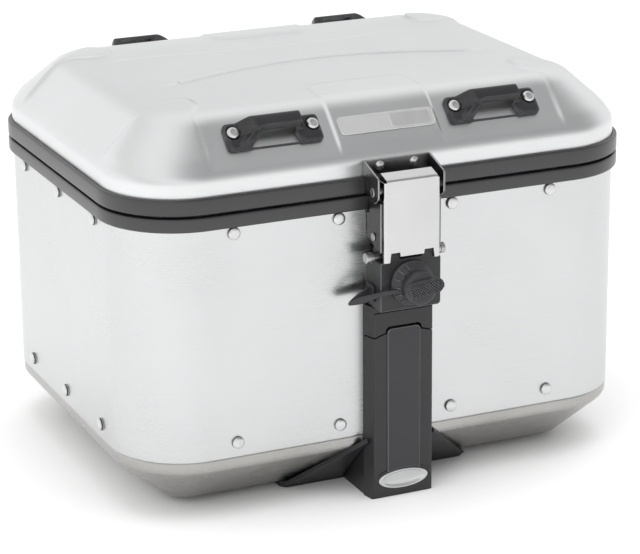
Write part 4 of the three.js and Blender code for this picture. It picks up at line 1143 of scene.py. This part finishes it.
def carry_handle():
    """Bar whose foot follows the oval button; it stands a little proud of the column."""
    top = corners("carry_handle")[1][2]
    foot = []
    for k in range(13):
        x = -HANDLE_HALF + 2 * HANDLE_HALF * k / 12
        foot.append((x, BUTTON_Z + 9.5 * sqrt(1 - (x / 24.2) ** 2)))
    above = [(0, 60), (HANDLE_HALF, 60), (HANDLE_HALF, top, 4), (-HANDLE_HALF, top, 4), (-HANDLE_HALF, 60)]
    front = foot + fillet(above, 6)[1:]
    knuckle = fillet([(-183, 131), (-181.4, 134, 3), (-179.4, 139, 3), (-179.0, 147, 4), (-183, 149.4, 1)], 5)
    parts = [prism(front, "y", COLUMN_FRONT - 0.9, -182), prism(knuckle, "x", -HANDLE_HALF, HANDLE_HALF)]
    # Its rounded edges are painted in the lighter plastic: a painted highlight.
    piece("carry_handle_bar", parts, "handle", handle_plastic, "carry_handle", bevel=0.5, edge=painted_highlight_plastic)


def release_button():
    rings = []
    outline = [(1.0, 12), (1.0, 1.7), (0.992, 0.95), (0.97, 0.45), (0.93, 0.2), (0.87, 0.2), (0.83, 0.5),
        (0.80, 1.0), (0.76, 1.35), (0.66, 1.7), (0.45, 2.1), (0.22, 2.3), (0.0, 2.35)]
    for scale, depth in outline:
        tall = BUTTON_TALL * (scale if scale > 0.9 else scale * 0.96)
        rings.append(oval(COLUMN_FRONT - 0.6 + depth, BUTTON_HALF * scale, tall, 72))
    stem = rod(3.3, 0, 3, (0, 1, 0), (0, COLUMN_FRONT + 11, BUTTON_Z), 24)
    piece("release_button_dished", [loft(rings), stem], "button", button_plastic, "release_button", sharp=50)


def button_spring():
    turns, radius, wire = 3, 4.6, 0.6
    lo, hi = corners("button_spring")
    rings = []
    steps = 96
    for i in range(steps + 1):
        angle = turns * 2 * pi * i / steps
        middle = Vector((radius * cos(angle), hi[1] - wire - (hi[1] - lo[1] - 2 * wire) * i / steps,
            BUTTON_Z + radius * sin(angle)))
        outward = Vector((cos(angle), 0, sin(angle)))
        rings.append([tuple(middle + outward * (wire * cos(t)) + Vector((0, wire * sin(t), 0)))
            for t in angles(10)])
    piece("button_spring_coiled", [loft(rings)], "case", zinc_steel, "button_spring", sharp=60)


# ---- mounting plate

_, PLATE_HI = corners("base_plate")
PLATE_TRIM = 10


def mounting_plate():
    half = PLATE_HI[0] - PLATE_TRIM
    front, rear, thick = -133.5, PLATE_HI[1], 5.7
    plan = rounded_rectangle(-half, half, front, rear, 8, 8)
    slot_half, slot_front, slot_rear = 21, 84, 96
    slots = [prism(rounded_rectangle(x - slot_half, x + slot_half, slot_front, slot_rear, 2.5), "z", -1, 10)
        for x in (-50, 50)]
    ribs = [box(-60, 60, y - 1.5, y + 1.5, -1, 1.6) for y in (-90, -45, 0, 45)]
    piece("mounting_plate", [prism(plan, "z", 0, thick)], "case", column_plastic, "base_plate",
        bevel=0.7, carve=slots + ribs)
    up = Vector((0, 2 - CHAMFER_INSET, CHAMFER_TOP - PAN_LO[2])).normalized()
    out = Vector((1, 0, 0)).cross(up)
    root, tip = HALF_ROOT + 0.6, 87
    outline = fillet([(root, -4), (tip - 9, -4, 4), (tip, 0, 3), (tip - 7, 6, 5), (root, 70)], 5)
    rib = fillet([(root, 67.4), (tip - 9, 5, 2), (tip - 4, 2.4), (tip - 3, 4.2), (tip - 7, 6, 5), (root, 70)])
    foot = Vector((0, CHAMFER_INSET - WALL_Y, PAN_LO[2])) + out * 1.2
    lay = laid((1, 0, 0), up, out, foot)
    wing = [moved(prism(outline, "z", 0, 3), lay), moved(prism(rib, "z", 2.8, 3.9), lay)]
    piece("mounting_wings", [*wing, *(mirrored(part) for part in wing)], "case",
        column_plastic, [], bevel=0.4)


# ---- rear hinges and small inner pieces


def small_pieces():
    for side in ("left", "right"):
        refined(f"hinge_case_leaf_{side}", "case", column_plastic, 0.5)
        refined(f"hinge_lid_leaf_{side}", "lid", column_plastic, 0.5)
        refined(f"hinge_pin_{side}", "case", zinc_steel, 0.4)
    refined("handle_pin", "case", zinc_steel, 0.3)
    refined("release_hook", "hook", dark_steel, 0.4)
    refined("release_hook_pin", "case", zinc_steel, 0.3)


# ---- assembly

case_wall()
bottom_pan()
band("lower_band", "case_frame", "case", -1)
band("upper_band", "lid_frame", "lid", 1)
seal()
rivets()
lid_shell()
tie_down_loops()
badge()
latch_bracket()
pin("latch_pivot_pin", "lid", PIVOT_Y, PIVOT_Z, head_radius=3.8, head_from=30.3, head_to=31.5)
pin("latch_hook_rivet", "latch", HOOK_RIVET_Y, HOOK_RIVET_Z, head_radius=3.4, head_from=27.3, head_to=28.3)
latch_lever()
latch_hook()
catch_bar()
lock_housing()
lock_cylinder()
dust_cap()
tether()
lock_column()
column_shoulder()
carry_handle()
release_button()
button_spring()
mounting_plate()
small_pieces()

# ---- studio


def floor():
    reach = 9000
    plane = [(-reach, -reach, 0), (reach, -reach, 0), (reach, reach, 0), (-reach, reach, 0)]
    ground = in_scene("floor", build_mesh("floor", [(plane, [[0, 1, 2, 3]])]))
    paint = bpy.data.materials.new("pale_floor")
    paint.use_nodes = True
    shader = paint.node_tree.nodes["Principled BSDF"]
    shader.inputs["Base Color"].default_value = (0.93, 0.93, 0.93, 1)
    shader.inputs["Roughness"].default_value = 0.9
    shader.inputs["Specular IOR Level"].default_value = 0.1
    ground.data.materials.append(paint)


def lamp(name, kind, energy, **settings):
    """A lamp that lights the scene and stays out of reflections."""
    data = bpy.data.lights.new(name, kind)
    data.energy = energy
    for key, value in settings.items():
        setattr(data, key, value)
    made = in_scene(name, data)
    made.visible_glossy = False
    return made


def key_light():
    """Soft box above, in front and to the left; its power follows from its radiance."""
    place, target = Vector((-1.5, -0.7, 1.5)), Vector((0, 0, 0.25))
    width, tall, radiance = 2.0, 1.8, 1.0
    power = radiance * pi * width * tall
    made = lamp("key", "AREA", power, shape="RECTANGLE", size=width, size_y=tall)
    made.location = place
    made.rotation_mode = "QUATERNION"
    made.rotation_quaternion = (target - place).to_track_quat("-Z", "Y")


def floor_wash():
    """Very soft light from above and a little from the front right, which whitens the floor."""
    made = lamp("floor_wash", "SUN", 1.3, angle=radians(60))
    made.rotation_euler = (radians(10), radians(14), 0)


def sky():
    """A white studio whose front right corner, up above, stays dim."""
    world = bpy.data.worlds.new("studio")
    bpy.context.scene.world = world
    world.use_nodes = True
    nodes = Nodes(world.node_tree)
    dim_corner = Vector((0.50, -0.50, 0.71)).normalized()
    ways = {0: nodes.add("TexCoord").outputs["Generated"], 1: dim_corner}
    towards = nodes.add("VectorMath", ways, operation="DOT_PRODUCT").outputs["Value"]
    ends = [(0.0, (1.12, 1.12, 1.125)), (1.0, (0.42, 0.42, 0.425))]
    greys = ((0.34, 1.15), (0.42, 0.90), (0.53, 0.95), (0.66, 1.10), (0.81, 1.10), (0.94, 0.50))
    colour = nodes.ramp(nodes.spread(towards, -1, 1, 0, 1),
        ends + [(place, [grey] * 3) for place, grey in greys])
    nodes.feed(world.node_tree.nodes["Background"], {"Color": colour, "Strength": 1.0})


def camera():
    azimuth, elevation, roll = -0.42094739, 0.31933211, -0.00932941
    distance, target = 2.281593, Vector((0.010059, 0, 0.134865))
    level_reach = cos(elevation)
    back = Vector((sin(azimuth) * level_reach, -cos(azimuth) * level_reach, sin(elevation)))
    level = (-back).cross(Vector((0, 0, 1))).normalized()
    upright = level.cross(-back)
    right = level * cos(roll) + upright * sin(roll)
    up = upright * cos(roll) - level * sin(roll)
    data = bpy.data.cameras.new("camera")
    data.sensor_width = 36
    data.lens = 144.34
    data.clip_end = 100
    view = in_scene("camera", data)
    view.matrix_world = laid(right, up, back, target + back * distance)
    bpy.context.scene.camera = view


floor()
key_light()
floor_wash()
sky()
camera()
bpy.context.scene.view_settings.view_transform = "Standard"
